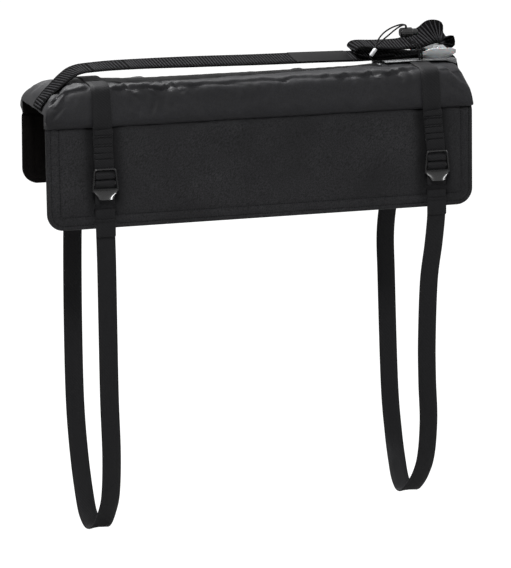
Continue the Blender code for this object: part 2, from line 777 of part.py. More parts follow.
def make_guard(finishes):
    """Make the open rubber guard that wraps the cam buckle."""
    silicone = finishes["silicone"]
    top = GUARD_BASE + GUARD_HEIGHT
    outer = [boat_ring(GUARD_LENGTH - 7 * MM, GUARD_WIDTH - 4 * MM, GUARD_BASE)]
    outer += [boat_ring(GUARD_LENGTH - 2 * MM, GUARD_WIDTH - 2 * MM, GUARD_BASE + 3 * MM)]
    outer += [boat_ring(GUARD_LENGTH, GUARD_WIDTH, GUARD_BASE + 7 * MM)]
    outer += [boat_ring(GUARD_LENGTH, GUARD_WIDTH, top)]
    guard = loft("buckle_guard", outer, silicone, smooth=True)
    floor = GUARD_BASE + GUARD_WALL
    trim = -2 * GUARD_WALL
    inner = [boat_ring(GUARD_LENGTH - 7 * MM + trim, GUARD_WIDTH - 4 * MM + trim, floor)]
    inner += [boat_ring(GUARD_LENGTH - 2 * MM + trim, GUARD_WIDTH - 2 * MM + trim, GUARD_BASE + 3 * MM)]
    inner += [boat_ring(GUARD_LENGTH + trim, GUARD_WIDTH + trim, GUARD_BASE + 7 * MM)]
    inner += [boat_ring(GUARD_LENGTH + trim, GUARD_WIDTH + trim, top + 4 * MM)]
    boolean(guard, loft("guard_hollow", inner, silicone), "DIFFERENCE")
    slot = BOARD_STRAP_WIDTH / 2 + 1.2 * MM
    mouth = box(
        "guard_mouth",
        (CAM_X - GUARD_LENGTH, CAM_Y - slot, floor),
        (CAM_X + GUARD_LENGTH, CAM_Y + slot, top + 5 * MM),
        silicone,
    )
    boolean(guard, mouth, "DIFFERENCE")
    exit_x = CAM_X + FRAME_LENGTH / 2 - 1.2 * MM
    way_out = box(
        "guard_exit",
        (exit_x, CAM_Y - slot, GUARD_BASE - 2 * MM),
        (CAM_X + GUARD_LENGTH, CAM_Y + slot, floor + 1 * MM),
        silicone,
    )
    boolean(guard, way_out, "DIFFERENCE")


def make_cam_buckle(finishes):
    """Make the cam buckle: frame, pin, lever and its spring."""
    steel = finishes["steel"]
    inner = BOARD_STRAP_WIDTH / 2 + 1.0 * MM
    outer = inner + FRAME_SHEET
    left = CAM_X - FRAME_LENGTH * 0.5
    right = CAM_X + FRAME_LENGTH * 0.5
    base = FRAME_BASE
    frame = box(
        "buckle_frame", (left, CAM_Y - outer, base), (right - 9 * MM, CAM_Y + outer, base + FRAME_SHEET), steel
    )
    wall_top = base + FRAME_WALL_HEIGHT
    for name, side in (("front_wall", -1), ("back_wall", 1)):
        y = sorted((CAM_Y + side * inner, CAM_Y + side * outer))
        section = [(CAM_X - 12 * MM, base), (right, base), (right, base + 6 * MM)]
        section += [(CAM_X + 6 * MM, wall_top), (CAM_X - 6 * MM, wall_top), (CAM_X - 12 * MM, base + 6 * MM)]
        wall = loft(name, [[Vector((x, level, z)) for x, z in section] for level in y], steel)
        boolean(frame, wall, "UNION")
    bar = box(
        "anchor_bar",
        (right - 3.2 * MM, CAM_Y - outer, base + 0.2 * MM),
        (right - 0.2 * MM, CAM_Y + outer, base + 3.0 * MM),
        steel,
    )
    boolean(frame, bar, "UNION")
    along = Vector((0, 1, 0))
    hole = turned(
        "pin_hole",
        PIVOT - along * (outer + 5 * MM),
        along,
        [(0, PIN_RADIUS + GAP), (2 * outer + 10 * MM, PIN_RADIUS + GAP)],
        steel,
    )
    boolean(frame, hole, "DIFFERENCE")
    head = outer + GAP
    turned(
        "lever_pin",
        PIVOT - along * (head + 1.2 * MM),
        along,
        [
            (0, PIN_RADIUS + 1.0 * MM),
            (1.2 * MM, PIN_RADIUS + 1.0 * MM),
            (1.2001 * MM, PIN_RADIUS),
            (2 * head + 1.1999 * MM, PIN_RADIUS),
            (2 * head + 1.2 * MM, PIN_RADIUS + 1.0 * MM),
            (2 * head + 2.4 * MM, PIN_RADIUS + 1.0 * MM),
        ],
        steel,
    )
    make_lever(inner, finishes)


def make_lever(inner, finishes):
    """Make the toothed cam with its thumb plate, and the spring beside it."""
    zinc = finishes["zinc"]
    along = Vector((0, 1, 0))
    front = -inner + 0.8 * MM
    back = inner - 0.8 * MM - LEVER_SPRING_WIDTH
    centre = PIVOT + Vector((CAM_DROP, 0, -CAM_DROP))
    lever = turned(
        "buckle_lever", centre + along * front, along, [(0, CAM_RADIUS), (back - front, CAM_RADIUS)], zinc, 28
    )
    reach = Vector((-math.cos(LEVER_ANGLE), 0, math.sin(LEVER_ANGLE)))
    lift = Vector((math.sin(LEVER_ANGLE), 0, math.cos(LEVER_ANGLE)))
    corners = []
    thin = LEVER_THICKNESS / 2
    for far, up in ((0.0, -thin), (LEVER_LENGTH, -thin), (LEVER_LENGTH, thin), (0.0, thin)):
        corners.append(reach * far + lift * up)
    rings = [[PIVOT + along * level + corner for corner in corners] for level in (front, back)]
    boolean(lever, loft("thumb_plate", rings, zinc), "UNION")
    hole = turned(
        "lever_hole",
        PIVOT - along * (inner + 4 * MM),
        along,
        [(0, PIN_RADIUS + GAP), (2 * inner + 8 * MM, PIN_RADIUS + GAP)],
        zinc,
    )
    boolean(lever, hole, "DIFFERENCE")
    coil = []
    turns = 4
    steps = 10
    start = back + 0.4 * MM + SPRING_WIRE / 2
    length = LEVER_SPRING_WIDTH - 0.4 * MM - SPRING_WIRE
    radius = PIN_RADIUS + GAP + SPRING_WIRE / 2 + 0.5 * MM
    for i in range(turns * steps + 1):
        turn = 2 * math.pi * i / steps
        offset = Vector((radius * math.cos(turn), start + length * i / (turns * steps), radius * math.sin(turn)))
        coil.append(PIVOT + offset)
    spring_wire("lever_spring", coil, SPRING_WIRE, finishes["steel"])


def spring_wire(name, coil, wire, finish):
    """Make a wire along the turns of a spring."""
    data = bpy.data.curves.new(name, "CURVE")
    data.dimensions = "3D"
    spline = data.splines.new("POLY")
    spline.points.add(len(coil) - 1)
    for knot, place in zip(spline.points, coil):
        knot.co = (*place, 1.0)
    data.bevel_depth = wire / 2
    data.bevel_resolution = 1
    data.use_fill_caps = True
    data.materials.append(finish)
    made = bpy.data.objects.new(name, data)
    bpy.context.scene.collection.objects.link(made)
    return made


def route_with_widths(rows, spacing):
    """Smooth rows of (centre, width direction) in millimetres into ribbon stations."""
    centres = smooth_route([Vector(centre) * MM for centre, _ in rows], spacing)
    widths = []
    knots = [Vector(centre) * MM for centre, _ in rows]
    directions = [Vector(width).normalized() for _, width in rows]
    for i in range(len(rows) - 1):
        steps = max(1, round((knots[i + 1] - knots[i]).length / spacing))
        for step in range(steps):
            widths.append(directions[i].lerp(directions[i + 1], step / steps))
    widths.append(directions[-1])
    return centres, widths


ANCHOR_Y = -26
# Rows of centre and width direction, in millimetres: from the pad's left end, its middle and the cam
FROM_LEFT_END = [
    ((-0.9, ANCHOR_Y, 4.2), (0, 1, 0)),
    ((1, ANCHOR_Y, 9.5), (0, 1, 0)),
    ((7.5, ANCHOR_Y, 17.5), (0, 1, 0)),
    ((20, -23.5, 28.0), (0, 1, 0.06)),
    ((38, -18.5, 41.2), (0, 1, 0.12)),
    ((54, -14, 48.6), (0, 1, 0.13)),
    ((75, -12, 50.9), (0, 1, 0.14)),
    ((125, -8, 51.4), (0, 1, 0.16)),
]
FROM_MIDDLE = [((-70, -3, 49.4), (0, 1, 0.2)), ((10, 0, 47.2), (0, 1, 0.2))]
FROM_CAM = [
    ((-172, 7, 45.0), (0, 1, 0.2)),
    ((-107, 11.5, 42.9), (0, 1, 0.2)),
    ((-57, 13, 43.4), (0, 1, 0.17)),
]


def moved_rows(rows, x):
    """Shift rows of centre and width direction along X, in millimetres."""
    return [((centre[0] + x / MM, centre[1], centre[2]), width) for centre, width in rows]


def make_board_strap(finishes):
    """Make the board strap, its bare label patch and its free tail."""
    level = STRAP_IN_BUCKLE / MM
    rows = moved_rows(FROM_LEFT_END, LEFT_END_X) + FROM_MIDDLE + moved_rows(FROM_CAM, CAM_X)
    rows += [((CAM_X / MM - 27, CAM_Y / MM, level), (0, 1, 0))]
    rows += [((CAM_X / MM - 16, CAM_Y / MM, level), (0, 1, 0))]
    rows += [((CAM_X / MM + 3, CAM_Y / MM, level), (0, 1, 0))]
    rows += [((CAM_X / MM + 11, CAM_Y / MM, level + 3.9), (0, 1, 0))]
    below_tail = len(route_with_widths(rows, STATION_SPACING)[0])
    rows += moved_rows(TAIL_FROM_CAM, CAM_X)
    centres, widths = route_with_widths(rows, STATION_SPACING)
    ribbon(
        "board_strap", centres, widths, BOARD_STRAP_WIDTH, BOARD_STRAP_THICKNESS, finishes["board_webbing"]
    )
    patch_centres = []
    patch_widths = []
    lift = BOARD_STRAP_THICKNESS / 2 + GAP + LABEL_THICKNESS / 2
    for centre, width in zip(centres[:below_tail], widths[:below_tail]):
        if LABEL_START_X <= centre.x <= LABEL_START_X + LABEL_LENGTH:
            normal = Vector((1, 0, 0)).cross(width).normalized()
            patch_centres.append(centre + normal * lift)
            patch_widths.append(width)
    ribbon(
        "strap_label",
        patch_centres,
        patch_widths,
        BOARD_STRAP_WIDTH - 3 * MM,
        LABEL_THICKNESS,
        finishes["label"],
    )


STATION_SPACING = 7.0 * MM
TAIL_FROM_CAM = [
    ((17, 13.3, 49.2), (0, 1, 0.03)),
    ((20.3, 14.2, 54), (-0.12, 1, 0.25)),
    ((19, 16.5, 60.5), (-0.4, 0.7, 0.6)),
    ((12.4, 17.5, 67.3), (-0.43, 0.5, 0.74)),
    ((2.5, 16.7, 69.0), (-0.3, 0.62, 0.7)),
    ((-9.5, 15.2, 64.8), (-0.13, 0.82, 0.52)),
    ((-23.5, 13.2, 59.0), (0.02, 0.93, 0.4)),
    ((-47, 13, 57.2), (0, 1, 0.27)),
    ((-82, 13, 57.9), (0, 1, 0.17)),
    ((-99, 13, 58.8), (0, 1, 0.12)),
    ((-109.5, 13, 57.6), (0, 1, 0.1)),
    ((-114, 13, 53.0), (0, 1, 0.1)),
    ((-110.5, 13, 48.6), (0, 1, 0.14)),
    ((-101, 13, 46.6), (0, 1, 0.19)),
    ((-84, 13, 46.5), (0, 1, 0.19)),
    ((-60, 13.2, 47.0), (0, 1, 0.17)),
]


def make_anchor_webbing(finishes):
    """Make the webbing that ties the buckle's bar to the pad's right end."""
    right = CAM_X + FRAME_LENGTH * 0.5
    base = FRAME_BASE
    out = GAP + BOARD_STRAP_THICKNESS / 2
    bar_low = base + 0.2 * MM
    bar_high = base + 3.0 * MM
    bar_left = right - 3.2 * MM
    bar_right = right - 0.2 * MM
    profile = [(bar_left - out - 0.3 * MM, bar_low + 0.6 * MM), (bar_left - out, bar_high + out * 0.4)]
    profile += [(bar_left - out * 0.2, bar_high + out), (bar_right + out * 0.1, bar_high + out)]
    profile += [(bar_right + out, bar_high), (bar_right + out + 0.6 * MM, bar_low + 0.6 * MM)]
    rim = PAD_LENGTH / 2 + out
    profile += [(BUCKLE_PAD_END_X + 1.7 * MM, PAD_TOP + 0.5 * MM), (rim - 3.6 * MM, 34 * MM)]
    profile += [(rim - 1.6 * MM, 27 * MM), (rim - 0.4 * MM, 20 * MM)]
    profile += [(rim, 12 * MM), (rim, 1 * MM)]
    centres = [Vector((x, CAM_Y, z)) for x, z in profile]
    widths = [Vector((0, 1, 0))] * len(centres)
    ribbon(
        "anchor_webbing", centres, widths, BOARD_STRAP_WIDTH, BOARD_STRAP_THICKNESS, finishes["board_webbing"]
    )


# Elastic cord

def make_cord_lock(finishes):
    """Make the cord lock: a barrel, its sprung plunger and the spring."""
    axis = Vector((1, 0, 0))
    start = LOCK_CENTRE - axis * (LOCK_LENGTH / 2)
    half = LOCK_LENGTH
    profile = [(0, LOCK_RADIUS - 1.4 * MM), (1.4 * MM, LOCK_RADIUS), (half - 1.0 * MM, LOCK_RADIUS)]
    profile += [(half, LOCK_RADIUS - 0.8 * MM)]
    barrel = turned("cord_lock_barrel", start, axis, profile, finishes["acetal"])
    bore = turned(
        "lock_bore",
        start,
        axis,
        [(LOCK_FLOOR, PLUNGER_RADIUS + GAP), (half + 2 * MM, PLUNGER_RADIUS + GAP)],
        finishes["acetal"],
    )
    boolean(barrel, bore, "DIFFERENCE")
    slot_x = CORD_DIAMETER / 2 + 0.6 * MM
    slot_y = CORD_DIAMETER + 2 * GAP
    slot = box(
        "lock_slot",
        (LOCK_CENTRE.x - slot_x, LOCK_CENTRE.y - slot_y, LOCK_CENTRE.z - 12 * MM),
        (LOCK_CENTRE.x + slot_x, LOCK_CENTRE.y + slot_y, LOCK_CENTRE.z + 12 * MM),
        finishes["acetal"],
    )
    boolean(barrel, slot, "DIFFERENCE")
    inner = LOCK_CENTRE.x - slot_x - 1.4 * MM - start.x
    tip = half + PLUNGER_BUTTON_LENGTH
    plunger = turned(
        "cord_lock_plunger",
        start,
        axis,
        [(inner, PLUNGER_RADIUS), (tip - 1 * MM, PLUNGER_RADIUS), (tip, PLUNGER_RADIUS - 1 * MM)],
        finishes["acetal"],
    )
    passage = box(
        "plunger_passage",
        (LOCK_CENTRE.x - slot_x, LOCK_CENTRE.y - slot_y, LOCK_CENTRE.z - 12 * MM),
        (LOCK_CENTRE.x + slot_x + PLUNGER_TRAVEL, LOCK_CENTRE.y + slot_y, LOCK_CENTRE.z + 12 * MM),
        finishes["acetal"],
    )
    boolean(plunger, passage, "DIFFERENCE")
    coil = []
    turns = 3
    steps = 10
    low = start.x + LOCK_FLOOR + GAP + LOCK_SPRING_WIRE / 2
    high = start.x + inner - GAP - LOCK_SPRING_WIRE / 2
    radius = PLUNGER_RADIUS - 1.2 * MM
    for i in range(turns * steps + 1):
        turn = 2 * math.pi * i / steps
        along = low + (high - low) * i / (turns * steps)
        coil.append(Vector((along, LOCK_CENTRE.y + radius * math.cos(turn), LOCK_CENTRE.z + radius * math.sin(turn))))
    spring_wire("cord_lock_spring", coil, LOCK_SPRING_WIRE, finishes["steel"])


def from_cam(*rows):
    """Turn rows of millimetres, taken from the cam's x, into points."""
    return [CAM_PLACE + place for place in points_mm(*rows)]


REAR_STRAND = from_cam(
    (-89.8, -12.2, 57.6),
    (-88.4, -12, 62),
    (-84.4, -10.7, 69),
    (-77, -8.2, 75.4),
    (-67.5, -4.7, 79.8),
    (-57, -0.3, 82.4),
    (-48.5, 2, 83.4),
    (-43.4, 2.25, 82),
    (-43, 2.25, 78),
    (-43, 2.25, 69),
    (-42.9, 2.2, 66),
    (-41.4, 1.5, 63.4),
    (-36.4, -1.8, 60.8),
    (-30.5, -7.5, 58.6),
    (-26.4, -11.6, 53),
    (-25.4, -13.2, 45),
)
FRONT_STRAND = from_cam(
    (-91.4, -14.9, 57.7),
    (-88.2, -14.9, 61),
    (-81, -13.6, 66.4),
    (-71.5, -11.2, 72.4),
    (-61, -6.9, 78.4),
    (-51.5, -2.6, 82.2),
    (-44.8, -0.5, 82.9),
    (-43, -0.25, 80),
    (-43, -0.25, 69),
    (-43, -0.35, 66),
    (-42.2, -2.2, 63.2),
    (-38.8, -7.6, 60.6),
    (-34, -12.4, 58),
    (-31, -14.9, 51.6),
    (-30, -15.6, 45),
)
TETHER = from_cam((-97, -13.4, 42.6), (-93.6, -13, 39.6), (-88.4, -12.7, 38.4), (-85.1, -12.5, 36.6))


def make_elastic(finishes):
    """Make the elastic cord's two strands, their end clip and its short tether."""
    above_strap = LAYER + WEBBING_THICKNESS / 2 + 0.25 * MM + GAP + 0.3 * MM
    for name, strand in (("rear_strand", REAR_STRAND), ("front_strand", FRONT_STRAND)):
        last = strand[-1]
        end = Vector((last.x, last.y, ridge_top(last.x, last.y) + above_strap))
        cord("elastic_" + name, strand + [end], CORD_DIAMETER, finishes["elastic"])
    direction = Vector((0.58, 0, 0.81)).normalized()
    across = Vector((0, 1, 0))
    thick = direction.cross(across)
    rings = []
    for along, scale in ((-1, 0.75), (-0.8, 1.0), (0.8, 1.0), (1, 0.75)):
        centre = CLIP_CENTRE + direction * (CLIP_LENGTH / 2 * along)
        ring = []
        for turn in range(12):
            angle = 2 * math.pi * (turn + 0.5) / 12
            side = across * (CLIP_WIDTH / 2 * scale * math.copysign(abs(math.cos(angle)) ** 0.6, math.cos(angle)))
            lift = thick * (CLIP_THICKNESS / 2 * scale * math.copysign(abs(math.sin(angle)) ** 0.6, math.sin(angle)))
            ring.append(centre + side + lift)
        rings.append(ring)
    loft("cord_clip", rings, finishes["clip"], smooth=True)
    make_tether(CLIP_CENTRE - direction * (CLIP_LENGTH / 2 + 3 * GAP), finishes)


def make_tether(start, finishes):
    """Make the thin cord from the clip down to its eyelet on the ridge."""
    foot = EYELET_CENTRE.copy()
    foot.z = ridge_top(foot.x, foot.y) + 1.5 * GAP
    cord("clip_tether", [start] + TETHER + [foot], TETHER_DIAMETER, finishes["elastic"])
    profile = [(0, EYELET_RADIUS), (EYELET_THICKNESS / 2, EYELET_RADIUS), (EYELET_THICKNESS, EYELET_RADIUS - GAP)]
    upward = Vector((0, 0, 1))
    eyelet = turned("tether_eyelet", foot, upward, profile, finishes["steel"], 20)
    bore = TETHER_DIAMETER / 2 + GAP
    hole = turned("eyelet_hole", foot - upward * MM, upward, [(0, bore), (4 * MM, bore)], finishes["steel"], 20)
    boolean(eyelet, hole, "DIFFERENCE")


def finish_table():
    """Make every finish that the pad uses."""
    return {
        "canvas": material("black_polyester_canvas", "2B2B2C", 0.85),
        "ripstop": material("black_ripstop_nylon", "333335", 0.6),
        "lining": material("black_nylon_lining", "161617", 0.8),
        "foam": material("closed_cell_foam", "3A3A3C", 0.9),
        "webbing": material("black_nylon_webbing", "1E1E1F", 0.7),
        "board_webbing": material("ribbed_polyester_webbing", "202021", 0.65),
        "label": material("woven_label_satin", "121213", 0.5),
        "elastic": material("black_elastic", "1A1A1B", 0.75),
        "felt": material("grey_felt_pad", "6A6B6C", 0.95),
        "acetal": material("black_acetal", "0E0E0F", 0.3),
        "silicone": material("grey_silicone_rubber", "A9ABAC", 0.45),
        "steel": material("zinc_plated_steel", "B9BBBD", 0.35, 1.0),
        "zinc": material("cast_zinc", "A3A5A7", 0.4, 1.0),
        "clip": material("grey_acetal", "B5B6B8", 0.35),
    }


def main():
    """Build the whole pad."""
    clear_scene()
    finishes = finish_table()
    make_channel_lining(finishes)
    make_flap("front", -1, FRONT_FLARE, FRONT_FLAP_HEIGHT, finishes)
    make_flap("back", 1, BACK_FLARE, BACK_FLAP_HEIGHT, finishes)
    make_ridge(finishes)
    make_fastening_strap(
        "left", LEFT_STRAP_X, LEFT_STRAP_LEAN, LEFT_BUCKLE_DROP, LEFT_HANGING, finishes
    )
    make_fastening_strap(
        "right", RIGHT_STRAP_X, RIGHT_STRAP_LEAN, RIGHT_BUCKLE_DROP, RIGHT_HANGING, finishes
    )
    make_buckle_pad(finishes)
    make_board_strap(finishes)
    make_guard(finishes)
    make_cam_buckle(finishes)
    make_anchor_webbing(finishes)
    make_cord_lock(finishes)
    make_elastic(finishes)


main()
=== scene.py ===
"""Looks of a tailgate pad: padded flaps and ridge, webbing loops, ladder locks,
a wide board strap with its cam buckle, and a thin elastic cord with its lock.

Lengths in the route tables are millimetres; everything else is metres. +X runs
along the pad, the long flap faces -Y and +Z is up.
"""
from __future__ import annotations

import itertools
import logging
import math
from dataclasses import dataclass, field
from enum import Enum
from typing import Any, Sequence

import bmesh
import bpy
import numpy as np
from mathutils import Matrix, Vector

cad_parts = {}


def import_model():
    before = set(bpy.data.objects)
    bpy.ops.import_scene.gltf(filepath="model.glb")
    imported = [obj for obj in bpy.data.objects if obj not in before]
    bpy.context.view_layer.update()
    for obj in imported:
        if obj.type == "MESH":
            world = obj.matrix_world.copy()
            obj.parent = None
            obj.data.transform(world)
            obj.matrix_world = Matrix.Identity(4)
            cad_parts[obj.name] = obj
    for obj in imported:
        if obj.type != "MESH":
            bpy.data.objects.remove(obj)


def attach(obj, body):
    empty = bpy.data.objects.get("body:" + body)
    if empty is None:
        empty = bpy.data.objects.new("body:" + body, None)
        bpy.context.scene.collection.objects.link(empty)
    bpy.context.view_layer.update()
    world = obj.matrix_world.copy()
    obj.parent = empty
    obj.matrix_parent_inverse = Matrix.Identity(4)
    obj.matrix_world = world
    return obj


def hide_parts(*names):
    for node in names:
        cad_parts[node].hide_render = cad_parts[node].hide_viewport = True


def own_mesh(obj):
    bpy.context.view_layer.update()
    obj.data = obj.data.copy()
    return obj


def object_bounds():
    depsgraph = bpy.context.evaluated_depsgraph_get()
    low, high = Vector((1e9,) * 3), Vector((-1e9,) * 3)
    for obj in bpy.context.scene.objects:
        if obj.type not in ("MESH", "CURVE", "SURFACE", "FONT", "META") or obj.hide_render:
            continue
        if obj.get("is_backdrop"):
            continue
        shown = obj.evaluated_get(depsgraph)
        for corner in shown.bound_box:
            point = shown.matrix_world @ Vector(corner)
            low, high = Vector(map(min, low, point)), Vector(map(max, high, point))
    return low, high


LOG = logging.getLogger("tailgate_pad")
MM = 0.001
GAP = 0.3 * MM
Row = tuple[float, float, float]


class Body(Enum):
    """The bodies that pieces ride on."""

    PAD = "pad"
    LEVER = "cam_lever"
    PLUNGER = "plunger"


# Colours and node trees


def hex_rgba(code: str) -> tuple[float, float, float, float]:
    """Turn an sRGB hex colour into a linear one.

    Args:
        code: Six hex digits.

    Returns:
        Linear red, green, blue and a full alpha.
    """
    parts = [int(code[i : i + 2], 16) / 255 for i in (0, 2, 4)]
    linear = [c / 12.92 if c <= 0.04045 else ((c + 0.055) / 1.055) ** 2.4 for c in parts]
    return (*linear, 1.0)


def set_inputs(tree: bpy.types.NodeTree, node: Any, inputs: dict[Any, Any]) -> None:
    """Set a node's inputs.

    Args:
        tree: The node's tree.
        node: The node.
        inputs: Socket name or index to a value, or to an output socket to link.
    """
    for key, value in inputs.items():
        if isinstance(value, bpy.types.NodeSocket):
            tree.links.new(value, node.inputs[key])
        else:
            node.inputs[key].default_value = value


def add_node(
    tree: bpy.types.NodeTree, kind: str, inputs: dict[Any, Any] | None = None, **settings: Any
) -> Any:
    """Add a node with its settings, input values and links.

    Args:
        tree: The tree that gets the node.
        kind: The node's type.
        inputs: As set_inputs takes them.
        settings: The node's own properties.

    Returns:
        The new node.
    """
    node = tree.nodes.new(kind)
    for key, value in settings.items():
        setattr(node, key, value)
    set_inputs(tree, node, inputs or {})
    return node


def new_surface(name: str) -> tuple[bpy.types.Material, bpy.types.NodeTree, Any]:
    """Start a material.

    Args:
        name: The material's name.

    Returns:
        The material, its tree and its shader.
    """
    made = bpy.data.materials.new(name)
    made.use_nodes = True
    return made, made.node_tree, made.node_tree.nodes["Principled BSDF"]


@dataclass(frozen=True)
class ClothFinish:
    """Woven or felted cloth, read on object coordinates.

    The thread is drawn coarser than the real 0.5 mm, or it would not show.
    """

    name: str
    dark: str
    light: str
    grain_mm: float
    thread_mm: float
    roughness: float
    sheen: float
    relief_mm: float
    crease_mm: float = 26.0
    specular: float = 0.1
    # Colour of painted shade, mixed in where a mesh carries its shade attribute: beside the straps and under
    # the ridge's hem
    painted_shade: str = "0C0C0D"

    def build(self) -> bpy.types.Material:
        """Make the material.

        Returns:
            The material.
        """
        made, tree, shader = new_surface(self.name)
        place = add_node(tree, "ShaderNodeTexCoord").outputs["Object"]
        lean = {"Vector": place, "Rotation": (0.0, math.radians(40), 0.0), "Scale": (1.0, 1.4, 2.2)}
        slanted = add_node(tree, "ShaderNodeMapping", lean, vector_type="TEXTURE").outputs[0]
        fine = {"Vector": slanted, "Scale": 1000 / self.grain_mm, "Detail": 3.0, "Roughness": 0.62}
        grain = add_node(tree, "ShaderNodeTexNoise", fine).outputs[0]
        broad = {"Vector": place, "Scale": 1000 / (self.crease_mm * 3), "Detail": 2.0}
        wear = add_node(tree, "ShaderNodeTexNoise", broad).outputs[0]
        spread = add_node(
            tree, "ShaderNodeMapRange", {"Value": grain, "From Min": 0.34, "From Max": 0.66}
        ).outputs[0]
        worn = add_node(
            tree, "ShaderNodeMath", {0: spread, 1: wear, 2: 0.02}, operation="MULTIPLY_ADD"
        ).outputs[0]
        colours = {0: worn, 6: hex_rgba(self.dark), 7: hex_rgba(self.light)}
        tint = add_node(tree, "ShaderNodeMix", colours, data_type="RGBA").outputs[2]
        # Painted shade: a per-point share mixes in a dark colour where the straps and the ridge's hem throw
        # shade on the flaps
        share = add_node(tree, "ShaderNodeAttribute", attribute_name="painted_shade").outputs["Fac"]
        shade_mix = {0: share, 6: tint, 7: hex_rgba(self.painted_shade)}
        shaded_tint = add_node(tree, "ShaderNodeMix", shade_mix, data_type="RGBA").outputs[2]
        folded = {"Vector": place, "Scale": 1000 / self.crease_mm, "Detail": 4.0, "Distortion": 0.6}
        crease = add_node(tree, "ShaderNodeTexNoise", folded).outputs[0]
        rumple = {"Height": crease, "Strength": 0.5, "Distance": self.relief_mm * 4 * MM}
        soft = add_node(tree, "ShaderNodeBump", rumple).outputs[0]
        spun = {"Vector": place, "Scale": 1000 / self.thread_mm, "Randomness": 0.55}
        thread = add_node(tree, "ShaderNodeTexVoronoi", spun).outputs["Distance"]
        woven = {"Height": thread, "Strength": 0.55, "Distance": self.relief_mm * MM, "Normal": soft}
        weave = add_node(tree, "ShaderNodeBump", woven).outputs[0]
        face = {
            "Base Color": shaded_tint,
            "Normal": weave,
            "Roughness": self.roughness,
            "Specular IOR Level": self.specular,
        }
        set_inputs(tree, shader, {**face, "Sheen Weight": self.sheen, "Sheen Roughness": 0.5})
        return made


@dataclass(frozen=True)
class BandFinish:
    """Webbing, elastic or satin, read on a strap's own map in millimetres."""

    name: str
    dark: str
    light: str
    pitch_mm: float
    slant: float
    roughness: float
    sheen: float
    relief_mm: float
    specular: float = 0.1

    def build(self) -> bpy.types.Material:
        """Make the material.

        Returns:
            The material.
        """
        made, tree, shader = new_surface(self.name)
        place = add_node(tree, "ShaderNodeUVMap", uv_map="strap_map").outputs[0]
        across, along, _ = add_node(tree, "ShaderNodeSeparateXYZ", {0: place}).outputs
        slanted = {0: across, 1: self.slant, 2: along}
        lean = add_node(tree, "ShaderNodeMath", slanted, operation="MULTIPLY_ADD").outputs[0]
        turn = add_node(
            tree, "ShaderNodeMath", {0: lean, 1: math.tau / self.pitch_mm}, operation="MULTIPLY"
        ).outputs[0]
        rib = add_node(tree, "ShaderNodeMath", {0: turn}, operation="SINE").outputs[0]
        level = add_node(
            tree, "ShaderNodeMapRange", {"Value": rib, "From Min": -1.0, "From Max": 1.0}
        ).outputs[0]
        fibre = add_node(
            tree, "ShaderNodeTexNoise", {"Vector": place, "Scale": 0.9, "Detail": 3.0}
        ).outputs[0]
        blend = add_node(tree, "ShaderNodeMath", {0: level, 1: fibre}, operation="MULTIPLY").outputs[0]
        colours = {0: blend, 6: hex_rgba(self.dark), 7: hex_rgba(self.light)}
        tint = add_node(tree, "ShaderNodeMix", colours, data_type="RGBA").outputs[2]
        raised = {"Height": blend, "Strength": 0.8, "Distance": self.relief_mm * MM}
        bump = add_node(tree, "ShaderNodeBump", raised).outputs[0]
        face = {
            "Base Color": tint,
            "Normal": bump,
            "Roughness": self.roughness,
            "Specular IOR Level": self.specular,
        }
        set_inputs(tree, shader, {**face, "Sheen Weight": self.sheen})
        return made


@dataclass(frozen=True)
class SolidFinish:
    """Moulded plastic, rubber or metal with a fine surface relief."""

    name: str
    dark: str
    light: str
    grain_mm: float
    roughness: float
    spread: float
    relief_mm: float
    metallic: float = 0.0
    coat: float = 0.0
    stretch: Row = (1.0, 1.0, 1.0)
    translucent: float = 0.0
    specular: float = 0.5

    def build(self) -> bpy.types.Material:
        """Make the material.

        Returns:
            The material.
        """
        made, tree, shader = new_surface(self.name)
        place = add_node(tree, "ShaderNodeTexCoord").outputs["Object"]
        drawn = add_node(tree, "ShaderNodeMapping", {"Vector": place, "Scale": self.stretch}).outputs[0]
        fine = {"Vector": drawn, "Scale": 1000 / self.grain_mm, "Detail": 4.0}
        grain = add_node(tree, "ShaderNodeTexNoise", fine).outputs[0]
        colours = {0: grain, 6: hex_rgba(self.dark), 7: hex_rgba(self.light)}
        tint = add_node(tree, "ShaderNodeMix", colours, data_type="RGBA").outputs[2]
        dull = {
            "Value": grain, "To Min": self.roughness - self.spread, "To Max": self.roughness + self.spread
        }
        gloss = add_node(tree, "ShaderNodeMapRange", dull).outputs[0]
        raised = {"Height": grain, "Strength": 0.4, "Distance": self.relief_mm * MM}
        bump = add_node(tree, "ShaderNodeBump", raised).outputs[0]
        face = {"Base Color": tint, "Normal": bump, "Roughness": gloss, "Specular IOR Level": self.specular}
        set_inputs(tree, shader, {**face, "Metallic": self.metallic, "Coat Weight": self.coat})
        if self.translucent:
            set_inputs(tree, shader, {"Subsurface Weight": self.translucent, "Subsurface Scale": 2 * MM})
        return made


